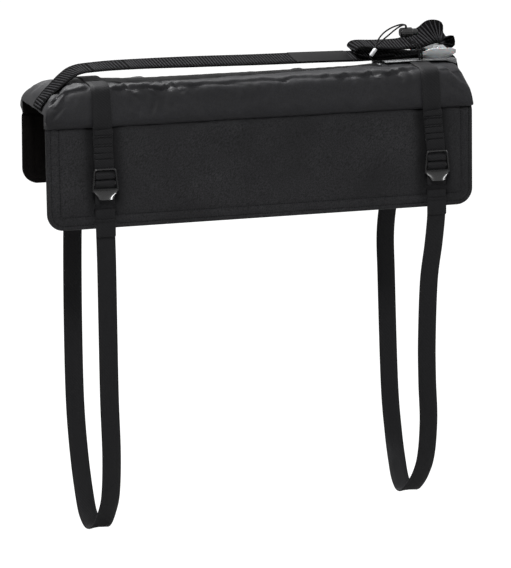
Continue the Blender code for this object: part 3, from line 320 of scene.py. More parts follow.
class Finishes:
    """Every finish of the pad, made once."""

    def __init__(self) -> None:
        """Make the materials."""
        # Plain-woven polyester with a dull face: matte, with a slanted grain
        self.canvas = ClothFinish(
            "woven_polyester_canvas", "19191A", "3A3A3C", 1.1, 1.0, 0.92, 0.03, 0.1
        ).build()
        # Coated nylon over the ridge: smoother, so creases catch the light
        cover = ClothFinish("coated_nylon_cover", "0E0E10", "232326", 1.1, 0.9, 0.62, 0.02, 0.06, 18.0, 0.2)
        self.ridge = cover.build()
        # Thin dark nylon on the inner sides
        lining = ClothFinish(
            "dark_nylon_lining", "060505", "100E0C", 3.0, 1.6, 0.85, 0.0, 0.12, specular=0.05
        )
        self.lining = lining.build()
        # Needled grey felt, matted fibres and no gloss
        felt = ClothFinish("needled_grey_felt", "5C5D5E", "8B8C8D", 1.6, 1.0, 0.95, 0.1, 0.3, specular=0.05)
        self.felt = felt.build()
        # Nylon webbing: fine ribs across, a slight sheen
        self.webbing = BandFinish("nylon_webbing", "0A0A0B", "2D2D2F", 1.9, 0.35, 0.62, 0.03, 0.25).build()
        # Heavy polyester webbing: black, drawn near-black as painted shade between its raised ribs
        self.board = BandFinish(
            "heavy_polyester_webbing", "020202", "060607", 3.4, 0.22, 0.9, 0.0, 0.4, 0.03
        ).build()
        # Raised polyester ribs: the same black polyester drawn lighter, a painted highlight on the ribs' tops
        self.rib = SolidFinish(
            "raised_polyester_rib", "171718", "2B2B2D", 0.9, 0.8, 0.06, 0.06, specular=0.06
        ).build()
        # Braided elastic: a fine slanted braid
        self.elastic = BandFinish("braided_elastic", "070708", "1C1C1E", 1.3, 0.9, 0.6, 0.05, 0.15).build()
        # Bonded sewing thread: round and slightly waxy
        self.thread = SolidFinish(
            "bonded_thread", "030304", "0A0A0B", 0.8, 0.6, 0.1, 0.05, specular=0.1
        ).build()
        # Bare satin patch: smooth with faint threads along it
        along = {"stretch": (0.1, 1.0, 1.0), "specular": 0.1}
        self.satin = SolidFinish(
            "woven_satin_patch", "040405", "0B0B0C", 0.8, 0.6, 0.08, 0.1, **along
        ).build()
        # Injection-moulded acetal: dark, with a soft broad gloss
        self.acetal = SolidFinish(
            "moulded_acetal", "020203", "060607", 1.2, 0.28, 0.05, 0.015, coat=0.35
        ).build()
        # Grey acetal of the small clip
        self.clip = SolidFinish("moulded_grey_acetal", "9C9DA0", "C4C5C7", 2.0, 0.35, 0.08, 0.03).build()
        # Moulded silicone: pale grey, slightly clouded
        silicone = SolidFinish("moulded_silicone", "8F9193", "B4B6B8", 7.0, 0.42, 0.08, 0.05, translucent=0.3)
        self.silicone = silicone.build()
        # Zinc-plated steel: pressed sheet with faint drawing lines
        drawn = {"metallic": 1.0, "stretch": (1.0, 0.2, 1.0)}
        self.steel = SolidFinish(
            "zinc_plated_steel", "A9ABAD", "D3D5D6", 1.5, 0.3, 0.1, 0.03, **drawn
        ).build()
        # Die-cast zinc: softly rough
        self.zinc = SolidFinish(
            "die_cast_zinc", "8E9092", "B3B5B7", 0.9, 0.38, 0.1, 0.05, metallic=1.0
        ).build()
        # Knitted elastic band of the keepers: dull and close-ribbed
        self.keeper = ClothFinish(
            "knitted_elastic_band", "0A0A0B", "1F1F21", 1.4, 1.0, 0.85, 0.02, 0.2
        ).build()


# Mesh helpers


def new_object(name: str, data: Any) -> Any:
    """Put a mesh, a lamp or a camera into the scene as an object at the origin."""
    made = bpy.data.objects.new(name, data)
    bpy.context.scene.collection.objects.link(made)
    return made


def smooth(mesh: Any, flat: float) -> None:
    """Shade a mesh smooth, but for edges sharper than this many degrees."""
    mesh.shade_smooth()
    mesh.set_sharp_from_angle(angle=math.radians(flat))


def mend(mesh: Any, merge: float = 0.0, even: float = 0.0) -> None:
    """Merge a mesh's close corners, then turn its faces outwards or join its even ones.

    Args:
        mesh: The mesh.
        merge: Corners closer than this become one.
        even: Faces that meet at less than this many degrees are joined.
    """
    work = bmesh.new()
    work.from_mesh(mesh)
    if merge:
        bmesh.ops.remove_doubles(work, verts=work.verts, dist=merge)
    if even:
        bmesh.ops.dissolve_limit(work, angle_limit=math.radians(even), verts=work.verts, edges=work.edges)
    else:
        bmesh.ops.recalc_face_normals(work, faces=work.faces)
    work.to_mesh(mesh)
    work.free()


def grid_faces(rows: int, count: int, start: int = 0, flip: bool = False) -> list[tuple[int, ...]]:
    """Give the faces of a grid of corners.

    Args:
        rows: How many rows it has.
        count: Corners in each row.
        start: The first corner's number.
        flip: Whether the faces look the other way.

    Returns:
        The corner numbers of each face.
    """
    steps = (0, count, count + 1, 1) if flip else (0, 1, count + 1, count)
    firsts = [start + i * count + j for i in range(rows - 1) for j in range(count - 1)]
    return [tuple(first + step for step in steps) for first in firsts]


def tube_faces(rings: int, count: int) -> list[tuple[int, ...]]:
    """Give the faces of a tube of rings of corners, with a cap at each end."""
    pairs = [
        (i * count, i * count + count, j, (j + 1) % count) for i in range(rings - 1) for j in range(count)
    ]
    caps = [tuple(reversed(range(count))), tuple(range((rings - 1) * count, rings * count))]
    return [(low + j, low + k, high + k, high + j) for low, high, j, k in pairs] + caps


def make_object(
    name: str, verts: np.ndarray, faces: Sequence[Sequence[int]], finish: Any, flat: float = 50
) -> Any:
    """Make an object at the origin from corners and faces.

    Args:
        name: The piece's name.
        verts: Corners in metres.
        faces: Corner numbers of each face.
        finish: The material.
        flat: Edges sharper than this many degrees stay sharp.

    Returns:
        The object.
    """
    mesh = bpy.data.meshes.new(name)
    mesh.from_pydata([tuple(map(float, v)) for v in verts], [], [tuple(f) for f in faces])
    mend(mesh, 2e-6)
    mesh.materials.append(finish)
    smooth(mesh, flat)
    return new_object(name, mesh)


def settle(item: Any, body: Body, slot: str, *nodes: str) -> Any:
    """Put a finished piece on its body and hide the CAD nodes that it replaces.

    Args:
        item: The piece.
        body: The body it rides on.
        slot: Not used.
        nodes: The CAD nodes that it replaces.

    Returns:
        The piece.
    """
    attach(item, body.value)
    if nodes:
        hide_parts(*nodes)
    LOG.info("%s: %d faces", item.name, len(item.data.polygons))
    return item


def plain_mesh(item: Any) -> Any:
    """Turn an object's evaluated modifiers into a plain mesh.

    Args:
        item: The object with live modifiers.

    Returns:
        The same object, with its modifiers removed.
    """
    bpy.context.view_layer.update()
    result = bpy.data.meshes.new_from_object(item.evaluated_get(bpy.context.evaluated_depsgraph_get()))
    item.modifiers.clear()
    item.data = result
    return item


def softened(node: str, finish: Any, width: float, body: Body, slot: str) -> Any:
    """Copy a CAD node, round its edges and let the copy stand for it.

    Args:
        node: The node's name.
        finish: The material.
        width: The rounding's width.
        body: The body it rides on.
        slot: Not used; it is only passed on to settle, which ignores it.

    Returns:
        The piece.
    """
    mesh = bpy.data.objects[node].data.copy()
    mend(mesh, 1e-6, 1.5)
    made = new_object(node + "_moulded", mesh)
    bevel = made.modifiers.new("edge rounding", "BEVEL")
    bevel.width = width
    bevel.segments = 3
    bevel.limit_method = "ANGLE"
    bevel.angle_limit = math.radians(38)
    plain_mesh(made)
    made.data.materials.clear()
    made.data.materials.append(finish)
    smooth(made.data, 48)
    return settle(made, body, slot, node)


def catmull_rom(points: Sequence[Vector], spacing: float) -> list[Vector]:
    """Read points from a smooth curve through chosen points.

    Args:
        points: The chosen points.
        spacing: The distance between the points that come back.

    Returns:
        The curve's points.
    """
    route: list[Vector] = []
    last = len(points) - 1
    for i in range(last):
        p0, p1, p2, p3 = points[max(i - 1, 0)], points[i], points[i + 1], points[min(i + 2, last)]
        steps = max(1, round((p2 - p1).length / spacing))
        for step in range(steps):
            t = step / steps
            bend = (p0 * -1 + p1 * 3 - p2 * 3 + p3) * t**3 + (p0 * 2 - p1 * 5 + p2 * 4 - p3) * t**2
            route.append((p1 * 2 + (p2 - p0) * t + bend) * 0.5)
    route.append(Vector(points[-1]))
    return route


def ripple(a: np.ndarray, b: np.ndarray, size: float, seed: int) -> np.ndarray:
    """Give a smooth seeded ripple between about -1 and 1.

    Args:
        a: First coordinate.
        b: Second coordinate.
        size: The ripple's length, in the coordinates' unit.
        seed: The seed of its directions and phases.

    Returns:
        The ripple at each point.
    """
    rng = np.random.default_rng(seed)
    total = np.zeros(np.broadcast(a, b).shape)
    for _ in range(9):
        way = rng.uniform(0, math.tau)
        wave = math.tau / (size * rng.uniform(0.6, 1.9))
        total += np.sin(wave * (a * math.cos(way) + b * math.sin(way)) + rng.uniform(0, math.tau))
    return total / 3.4


def sweep(
    name: str,
    centres: Sequence[Vector],
    widths: Sequence[Vector],
    section: Sequence[tuple[float, float]],
    finish: Any,
) -> Any:
    """Sweep a closed section along a path, with a map in millimetres on it.

    Args:
        name: The piece's name.
        centres: The path's points.
        widths: The width direction at each point.
        section: The section's corners as (across, out) pairs.
        finish: The material.

    Returns:
        The object.
    """
    last, count = len(centres) - 1, len(section)
    verts, along = [], [0.0]
    for i, centre in enumerate(centres):
        tangent = (centres[min(i + 1, last)] - centres[max(i - 1, 0)]).normalized()
        across = (widths[i] - tangent * widths[i].dot(tangent)).normalized()
        normal = tangent.cross(across)
        verts += [centre + across * u + normal * v for u, v in section]
        if i:
            along.append(along[-1] + (centre - centres[i - 1]).length)
    mesh = bpy.data.meshes.new(name)
    mesh.from_pydata([tuple(v) for v in verts], [], tube_faces(last + 1, count))
    mesh.materials.append(finish)
    girth = [0.0]
    for j in range(count):
        a, b = section[j], section[(j + 1) % count]
        girth.append(girth[-1] + math.hypot(b[0] - a[0], b[1] - a[1]))
    table = mesh.uv_layers.new(name="strap_map")
    for face in mesh.polygons:
        start = min(v % count for v in face.vertices)
        for loop in face.loop_indices:
            v = mesh.loops[loop].vertex_index
            j = v % count
            if start == 0 and j == count - 1 and len(face.vertices) == 4:
                u = girth[count - 1]
            elif j == 0 and any(w % count == count - 1 for w in face.vertices) and len(face.vertices) == 4:
                u = girth[count]
            else:
                u = girth[j]
            table.data[loop].uv = (u / MM, along[v // count] / MM)
    mend(mesh)
    smooth(mesh, 55)
    return new_object(name, mesh)


def strap_section(width: float, thickness: float) -> list[tuple[float, float]]:
    """Give a flat strap's section, thin and round at its edges."""
    half, thin = width / 2, thickness / 2
    upper = [(-half, thin * 0.3), (-half + thin * 0.6, thin * 0.9), (-half * 0.4, thin)]
    upper += [(half * 0.4, thin), (half - thin * 0.6, thin * 0.9), (half, thin * 0.3)]
    return upper + [(-u, -v) for u, v in upper]


def round_section(radius: float, sides: int = 12) -> list[tuple[float, float]]:
    """Give a round cord's section."""
    return [
        (radius * math.cos(math.tau * i / sides), radius * math.sin(math.tau * i / sides))
        for i in range(sides)
    ]


# Repeated pieces


class Beads:
    """A Geometry Nodes tree that lays a small oval at each of its seats."""

    NAME = ""
    SIZES: tuple[str, ...] = ()
    OVAL: tuple[str, str, str] = ("", "", "")
    RINGS = 5

    def __init__(self, finish: Any) -> None:
        """Build the tree.

        Args:
            finish: The ovals' material.
        """
        self.tree = tree = bpy.data.node_groups.new(self.NAME, "GeometryNodeTree")
        tree.interface.new_socket("Geometry", in_out="INPUT", socket_type="NodeSocketGeometry")
        for name in self.SIZES:
            tree.interface.new_socket(name, in_out="INPUT", socket_type="NodeSocketFloat")
        tree.interface.new_socket("Geometry", in_out="OUTPUT", socket_type="NodeSocketGeometry")
        given = add_node(tree, "NodeGroupInput").outputs
        points, turn = self.seats(given)
        ball = add_node(tree, "GeometryNodeMeshUVSphere", {"Segments": 6, "Rings": self.RINGS, "Radius": 0.5})
        size = add_node(tree, "ShaderNodeCombineXYZ", {i: given[name] for i, name in enumerate(self.OVAL)})
        shape = {"Geometry": ball.outputs["Mesh"], "Scale": size.outputs[0]}
        oval = add_node(tree, "GeometryNodeTransform", shape).outputs[0]
        spots = {"Points": points, "Instance": oval, "Rotation": turn}
        laid = add_node(tree, "GeometryNodeInstanceOnPoints", spots)
        real = add_node(tree, "GeometryNodeRealizeInstances", {0: laid.outputs[0]})
        dressed = add_node(tree, "GeometryNodeSetMaterial", {"Geometry": real.outputs[0], "Material": finish})
        add_node(tree, "NodeGroupOutput", {0: dressed.outputs[0]})

    def seats(self, given: Any) -> tuple[Any, Any]:
        """Give the sockets of the seats' points and turns, from the tree's inputs."""
        raise NotImplementedError

    def spread(self, name: str, mesh: Any, sizes: dict[str, float]) -> Any:
        """Run the tree on a mesh.

        Args:
            name: The piece's name.
            mesh: The mesh that holds the seats.
            sizes: The tree's named inputs.

        Returns:
            The ovals as one plain mesh.
        """
        made = new_object(name, mesh)
        step = made.modifiers.new(self.NAME, "NODES")
        step.node_group = self.tree
        for socket in self.tree.interface.items_tree:
            if socket.in_out == "INPUT" and socket.name in sizes:
                step[socket.identifier] = sizes[socket.name]
        plain_mesh(made)
        made.data.shade_smooth()
        return made


class StitchRow(Beads):
    """Lays thread stitches along lines."""

    NAME = "stitch_row"
    SIZES = ("Pitch", "Stitch Length", "Thread Diameter")
    OVAL = ("Stitch Length", "Thread Diameter", "Thread Diameter")

    def seats(self, given: Any) -> tuple[Any, Any]:
        """Put a seat at each pitch along the lines, turned along them.

        Args:
            given: The tree's inputs.

        Returns:
            The sockets of the points and turns.
        """
        line = add_node(self.tree, "GeometryNodeMeshToCurve", {0: given["Geometry"]}).outputs[0]
        steps = {"Curve": line, "Length": given["Pitch"]}
        spaced = add_node(self.tree, "GeometryNodeResampleCurve", steps, mode="LENGTH")
        tangent = add_node(self.tree, "GeometryNodeInputTangent").outputs[0]
        turn = add_node(self.tree, "FunctionNodeAlignRotationToVector", {"Vector": tangent}, axis="X")
        return spaced.outputs[0], turn.outputs[0]

    def lay(
        self, name: str, lines: Sequence[Sequence[Vector]], pitch: float, length: float, thick: float
    ) -> Any:
        """Lay stitches along lines.

        Args:
            name: The piece's name.
            lines: The stitch lines' points.
            pitch: Distance from stitch to stitch.
            length: One stitch's length.
            thick: The thread's diameter.

        Returns:
            The stitches as one plain mesh.
        """
        verts: list[Row] = []
        edges: list[tuple[int, int]] = []
        for line in lines:
            start = len(verts)
            verts += [tuple(point) for point in line]
            edges += [(start + i, start + i + 1) for i in range(len(line) - 1)]
        mesh = bpy.data.meshes.new(name)
        mesh.from_pydata(verts, edges, [])
        return self.spread(name, mesh, dict(zip(self.SIZES, (pitch, length, thick))))


class WebbingRibs(Beads):
    """Lays raised ribs across a strap."""

    NAME = "webbing_ribs"
    SIZES = ("Rib Length", "Rib Width", "Rib Height")
    OVAL = SIZES
    RINGS = 6

    def seats(self, given: Any) -> tuple[Any, Any]:
        """Put a seat at each point, turned by the mesh's own directions.

        Args:
            given: The tree's inputs.

        Returns:
            The sockets of the points and turns.
        """
        kind, vector = "GeometryNodeInputNamedAttribute", "FLOAT_VECTOR"
        ways = [
            add_node(self.tree, kind, {"Name": name}, data_type=vector).outputs[0]
            for name in ("across", "face")
        ]
        axes = {"Primary Axis": ways[0], "Secondary Axis": ways[1]}
        turn = add_node(self.tree, "FunctionNodeAxesToRotation", axes, primary_axis="X", secondary_axis="Z")
        return given["Geometry"], turn.outputs[0]

    def lay(self, name: str, seats: Sequence[tuple[Vector, Vector, Vector]], sizes: dict[str, float]) -> Any:
        """Lay one rib at each seat.

        Args:
            name: The piece's name.
            seats: Place, width direction and outward direction of each rib.
            sizes: The tree's named inputs.

        Returns:
            The ribs as one plain mesh.
        """
        mesh = bpy.data.meshes.new(name)
        mesh.from_pydata([tuple(place) for place, _, _ in seats], [], [])
        for key, index in (("across", 1), ("face", 2)):
            values = np.array([tuple(seat[index]) for seat in seats], np.float32).ravel()
            mesh.attributes.new(key, "FLOAT_VECTOR", "POINT").data.foreach_set("vector", values)
        return self.spread(name, mesh, sizes)


# Ridge


@dataclass(frozen=True)
class Fold:
    """A crease on the ridge, from (x in mm, turn in degrees) to another such point."""

    x0: float
    t0: float
    x1: float
    t1: float
    height: float
    width: float


FOLD_ROWS = (
    (-184, 72, -171, 47, -3.4, 3.4), (-176, 44, -168, 33, -1.8, 3.2), (-150, 53, -141, 72, -2.2, 3.2),
    (-160, 56, -138, 38, 1.6, 3.2), (-129, 74, -124, 47, -3.4, 3.2), (-118, 66, -108, 44, -2.6, 3.6),
    (-112, 46, -104, 38, -1.4, 3.4), (-168, 26, -166, 12, -1.2, 2.8), (-146, 30, -150, 14, -1.2, 2.8),
    (-60, 56, -30, 48, -1.3, 5.5), (22, 58, 38, 48, -1.6, 4.6), (118, 66, 126, 44, -1.8, 3.6),
    (150, 72, 160, 43, -3, 3.4), (162, 48, 166, 30, -1.6, 3.2), (183, 68, 192, 40, -3, 3.4),
    (200, 63, 206, 43, -1.8, 3.4), (-283, 62, -258, 82, 2.5, 3.2), (-281, 44, -264, 70, -4.6, 2.6),
    (-276, 32, -261, 56, 2.2, 2.4), (-268, 28, -282, 8, -1.9, 2), (-250, 74, -236, 58, 2.2, 3.7),
    (-246, 90, -262, 98, -2.3, 3.7), (-284, 100, -262, 112, -2.8, 3.7), (-278, 116, -250, 122, 2.2, 4.6),
    (250, 74, 262, 44, 1.9, 4.6), (262, 66, 276, 40, -2.5, 4.6), (255, 34, 272, 18, -1.3, 4.6),
    (-150, 112, -128, 130, 2.8, 5.5), (-60, 110, -42, 132, -2.8, 5.5), (70, 112, 92, 134, 2.8, 5.5),
    (150, 110, 166, 136, -3.1, 5.5),
)
RIDGE_FOLDS = tuple(Fold(*row) for row in FOLD_ROWS)

# The gathered line along the crest's front: x in mm, turn in degrees, strength
GATHERS = (
    (-290, 53, 0.0), (-262, 53, 0.5), (-240, 54, 0.7), (-202, 51, 0.9), (-189, 48, 1.0),
    (-180, 60, 1.0), (-160, 52, 1.0), (-149, 54, 1.0), (-135, 46, 1.0), (-125, 59, 1.0),
    (-111, 58, 0.9), (-98, 53, 0.9), (-90, 52, 0.8), (-78, 56, 0.6), (-58, 54, 0.6),
    (-30, 56, 0.5), (5, 57, 0.6), (30, 54, 0.6), (44, 59, 0.6), (64, 59, 0.6),
    (82, 55, 0.7), (93, 59, 0.8), (107, 51, 0.9), (118, 59, 0.9), (129, 57, 0.9),
    (142, 51, 1.0), (153, 62, 1.0), (164, 57, 1.0), (174, 48, 1.0), (184, 57, 0.9),
    (197, 59, 0.8), (214, 58, 0.4), (250, 56, 0.3), (290, 56, 0.0),
)


@dataclass
class Ridge:
    """The padded ridge with the channel below it."""

    length: float = 580 * MM
    seam_half: float = 67.0 * MM
    bulge: float = 2.5 * MM
    rise: float = 50 * MM
    end_rise: float = 21 * MM
    seam_drop: float = 18 * MM
    crest_shift: float = -13 * MM
    exponent: float = 2.2
    end_exponent: float = 6.0
    left_taper: float = 36 * MM
    right_taper: float = 16 * MM
    left_puff: Row = (4.6 * MM, -232 * MM, 52 * MM)
    right_puff: Row = (3.0 * MM, 215 * MM, 60 * MM)
    dent: Row = (13 * MM, -26 * MM, 21 * MM)
    dent_length: float = 34 * MM
    shoulder_pull: float = 0.4
    shoulder_length: float = 30 * MM
    shoulder_start: float = 4 * MM
    shoulder_rise: float = 14 * MM
    channel_half: float = 55.0 * MM
    arc_per_degree: float = 1.25
    gather_mm: float = 3.4
    square: Row = (9.0 * MM, 50.0, 17.0)
    square_length: float = 70 * MM
    strap_places: tuple[float, ...] = (-217 * MM, 230 * MM)

    def shape(self, x: np.ndarray, turn: np.ndarray) -> np.ndarray:
        """Give the ridge's plain surface.

        Args:
            x: Places along the pad.
            turn: Angles from the front seam (0) to the back one (pi).

        Returns:
            Points, with x, y and z last.
        """
        x, turn = np.broadcast_arrays(x, turn)
        half_length = self.length / 2
        taper = np.where(x < 0, self.left_taper, self.right_taper)
        depth = np.clip(half_length - np.abs(x), 0, taper)
        full = np.sqrt(1 - (1 - depth / taper) ** 2)
        puff = sum(
            size * np.exp(-(((x - at) / long) ** 2)) for size, at, long in (self.left_puff, self.right_puff)
        )
        half = self.seam_half + self.bulge * full
        rise = self.end_rise + (self.rise + puff - self.end_rise) * full
        end = np.where(x < 0, self.end_exponent, self.exponent)
        power = 2 / (end + (self.exponent - end) * full)
        sine, cosine = np.maximum(np.sin(turn), 0), np.cos(turn)
        z = -self.seam_drop + rise * sine**power
        inward = np.clip((half_length - x) / self.shoulder_length, 0, 1)
        lift = np.clip((z - self.shoulder_start) / self.shoulder_rise, 0, 1)
        pull = self.shoulder_pull * lift * (1 - np.sqrt(1 - (1 - inward) ** 2))
        y = -half * np.sign(cosine) * np.abs(cosine) ** power * (1 - pull * sine)
        y = y + self.crest_shift * full * sine**2
        size, at, wide = self.square
        inner = np.clip((half_length - np.abs(x)) / self.square_length, 0, 1)
        corner = size * inner**2 * (3 - 2 * inner) * np.exp(-(((np.degrees(turn) - at) / wide) ** 2))
        y, z = y - 0.6 * corner, z + 0.8 * corner
        size, at, wide = self.dent
        along = np.clip((x + half_length) / self.dent_length, 0, 1)
        press = size * (1 - along**2) * np.exp(-(((y - at) / wide) ** 2))
        limit = np.maximum(0, z - self.end_rise + self.seam_drop)
        z = np.where(z > 0, z - np.minimum(press, limit), z)
        return np.stack([x, y, z], -1)

    def folds(self, x: np.ndarray, degrees: np.ndarray) -> np.ndarray:
        """Give the height of the creases and gathers, in metres.

        Args:
            x: Places along the pad, in mm.
            degrees: Turns over the ridge, in degrees.

        Returns:
            Heights along the surface's outward direction.
        """
        total = np.zeros(np.broadcast(x, degrees).shape)
        arc = degrees * self.arc_per_degree
        for fold in RIDGE_FOLDS:
            ax, ay = fold.x0, fold.t0 * self.arc_per_degree
            bx, by = fold.x1 - ax, fold.t1 * self.arc_per_degree - ay
            t = np.clip(((x - ax) * bx + (arc - ay) * by) / (bx * bx + by * by), 0, 1)
            away = np.hypot(x - ax - t * bx, arc - ay - t * by)
            fade = 0.35 + 0.65 * np.sin(math.pi * np.clip(t, 0.08, 0.92))
            total += fold.height * fade * np.exp(-((away / fold.width) ** 2))
        at, turns, strengths = np.array(GATHERS).T
        fine = np.linspace(-290, 290, 1161)
        bell = np.exp(-((np.arange(-12, 13) / 5.0) ** 2))
        line = np.interp(x, fine[12:-12], np.convolve(np.interp(fine, at, turns), bell / bell.sum(), "valid"))
        strength = np.interp(x, at, strengths)
        above = degrees - line
        fade = np.where(above > 0, np.exp(-((above / 12) ** 2)), 1 + np.clip(above / 42, -1, 0))
        total += strength * self.gather_mm * np.tanh(above / 1.5) * fade
        near_crest = np.exp(-(((degrees - 70) / 26) ** 2))
        total += 0.5 * ripple(x, arc * 0.6, 26, 5) * near_crest + 0.15 * ripple(x, arc, 13, 8)
        total += 0.5 * ripple(x, arc * 0.4, 20, 11) * np.exp(-((degrees / 13) ** 2))
        return total * MM

    def build(self, cover: Any, lining: Any) -> Any:
        """Make the ridge, its rounded ends and its channel as one closed pad.

        Args:
            cover: The cover's material.
            lining: The channel's material.

        Returns:
            The piece.
        """
        half = self.length / 2
        # Columns stand closer near the ends, and rows at the foot and along the gathers
        near = np.concatenate([np.linspace(0, 6, 7), np.linspace(7.5, 42, 20)]) * MM
        middle = np.linspace(-half + 44 * MM, half - 44 * MM, 280)
        x = np.concatenate([-half + near, middle, half - near[::-1]])
        foot = np.array([0, 0.3, 0.7, 1.2, 1.8, 2.5, 3.4, 4.5, 5.8, 7.2, 8.6])
        front = np.concatenate(
            [np.linspace(10.2, 45, 20), np.linspace(45.7, 80, 50), np.linspace(82, 169.8, 48)]
        )
        turns = np.radians(np.concatenate([foot, front, 180 - foot[::-1]]))
        grid = self.shape(x[:, None], turns[None, :])
        along_x = np.gradient(grid, axis=0)
        along_t = np.gradient(grid, axis=1)
        normal = np.cross(along_t, along_x)
        normal /= np.maximum(np.linalg.norm(normal, axis=2, keepdims=True), 1e-12)
        outwards = np.stack([grid[..., 0] * 0, grid[..., 1], grid[..., 2] + 30 * MM], -1)
        normal *= np.sign(np.sum(normal * outwards, 2))[..., None]
        degrees = np.degrees(turns)[None, :]
        height = self.folds(x[:, None] / MM, degrees) * np.clip((half - np.abs(x)) / (9 * MM), 0, 1)[:, None]
        for place in self.strap_places:
            flat = np.clip((np.abs(x - place) - 12 * MM) / (7 * MM), 0, 1)[:, None]
            height = np.minimum(height, height * flat + 0.15 * MM * flat) * flat - 0.25 * MM * (1 - flat)
        low = np.minimum(degrees, 180 - degrees)
        tuck = np.sqrt(1 - (1 - np.clip(low / 8.0, 0, 1)) ** 2)
        wave = 0.5 * MM * ripple(x[:, None] / MM, degrees * 0, 60, 31)
        height = height * np.clip(low / 6, 0, 1) + (tuck - 1) * 5.0 * MM + wave * np.exp(-((low / 7) ** 2))
        outer = grid + normal * height[..., None]
        return self.close(x, outer, cover, lining)

    def close(self, x: np.ndarray, outer: np.ndarray, cover: Any, lining: Any) -> Any:
        """Join the outer surface to the channel below it.

        Args:
            x: Places of the sections.
            outer: The outer surface's points.
            cover: The cover's material.
            lining: The channel's material.

        Returns:
            The piece.
        """
        count = outer.shape[1]
        wall, top = self.seam_drop, 2 * self.channel_half
        run = np.linspace(0, 1, count) * (2 * wall + top)
        y = np.clip(run - wall, 0, top) - self.channel_half
        z = -np.clip(wall - run, 0, wall) - np.clip(run - wall - top, 0, wall)
        sag = 0.5 * MM * ripple(x[:, None] / MM, run[None, :] / MM, 40, 21)
        lifted = z[None, :] + 0.6 * MM + sag * (z[None, :] > -1e-9)
        inner = np.stack(np.broadcast_arrays(x[:, None], y[None, :], lifted), -1)
        verts = np.concatenate([outer.reshape(-1, 3), inner.reshape(-1, 3)])
        rows, shift = len(x), len(x) * count
        faces = grid_faces(rows, count)
        inside = grid_faces(rows, count, shift, True)
        ends = [row * count + j for j in range(count - 1) for row in (0, rows - 1)]
        faces += [(a, shift + a, shift + a + 1, a + 1) for a in ends]
        feet = [i * count + j for i in range(rows - 1) for j in (0, count - 1)]
        inside += [(a, a + count, shift + a + count, shift + a) for a in feet]
        made = make_object("ridge_pad", verts, faces + inside, cover, 60)
        made.data.materials.append(lining)
        flags = [0] * len(faces) + [1] * len(inside)
        if len(made.data.polygons) == len(flags):
            made.data.polygons.foreach_set("material_index", flags)
        return made


# Flaps


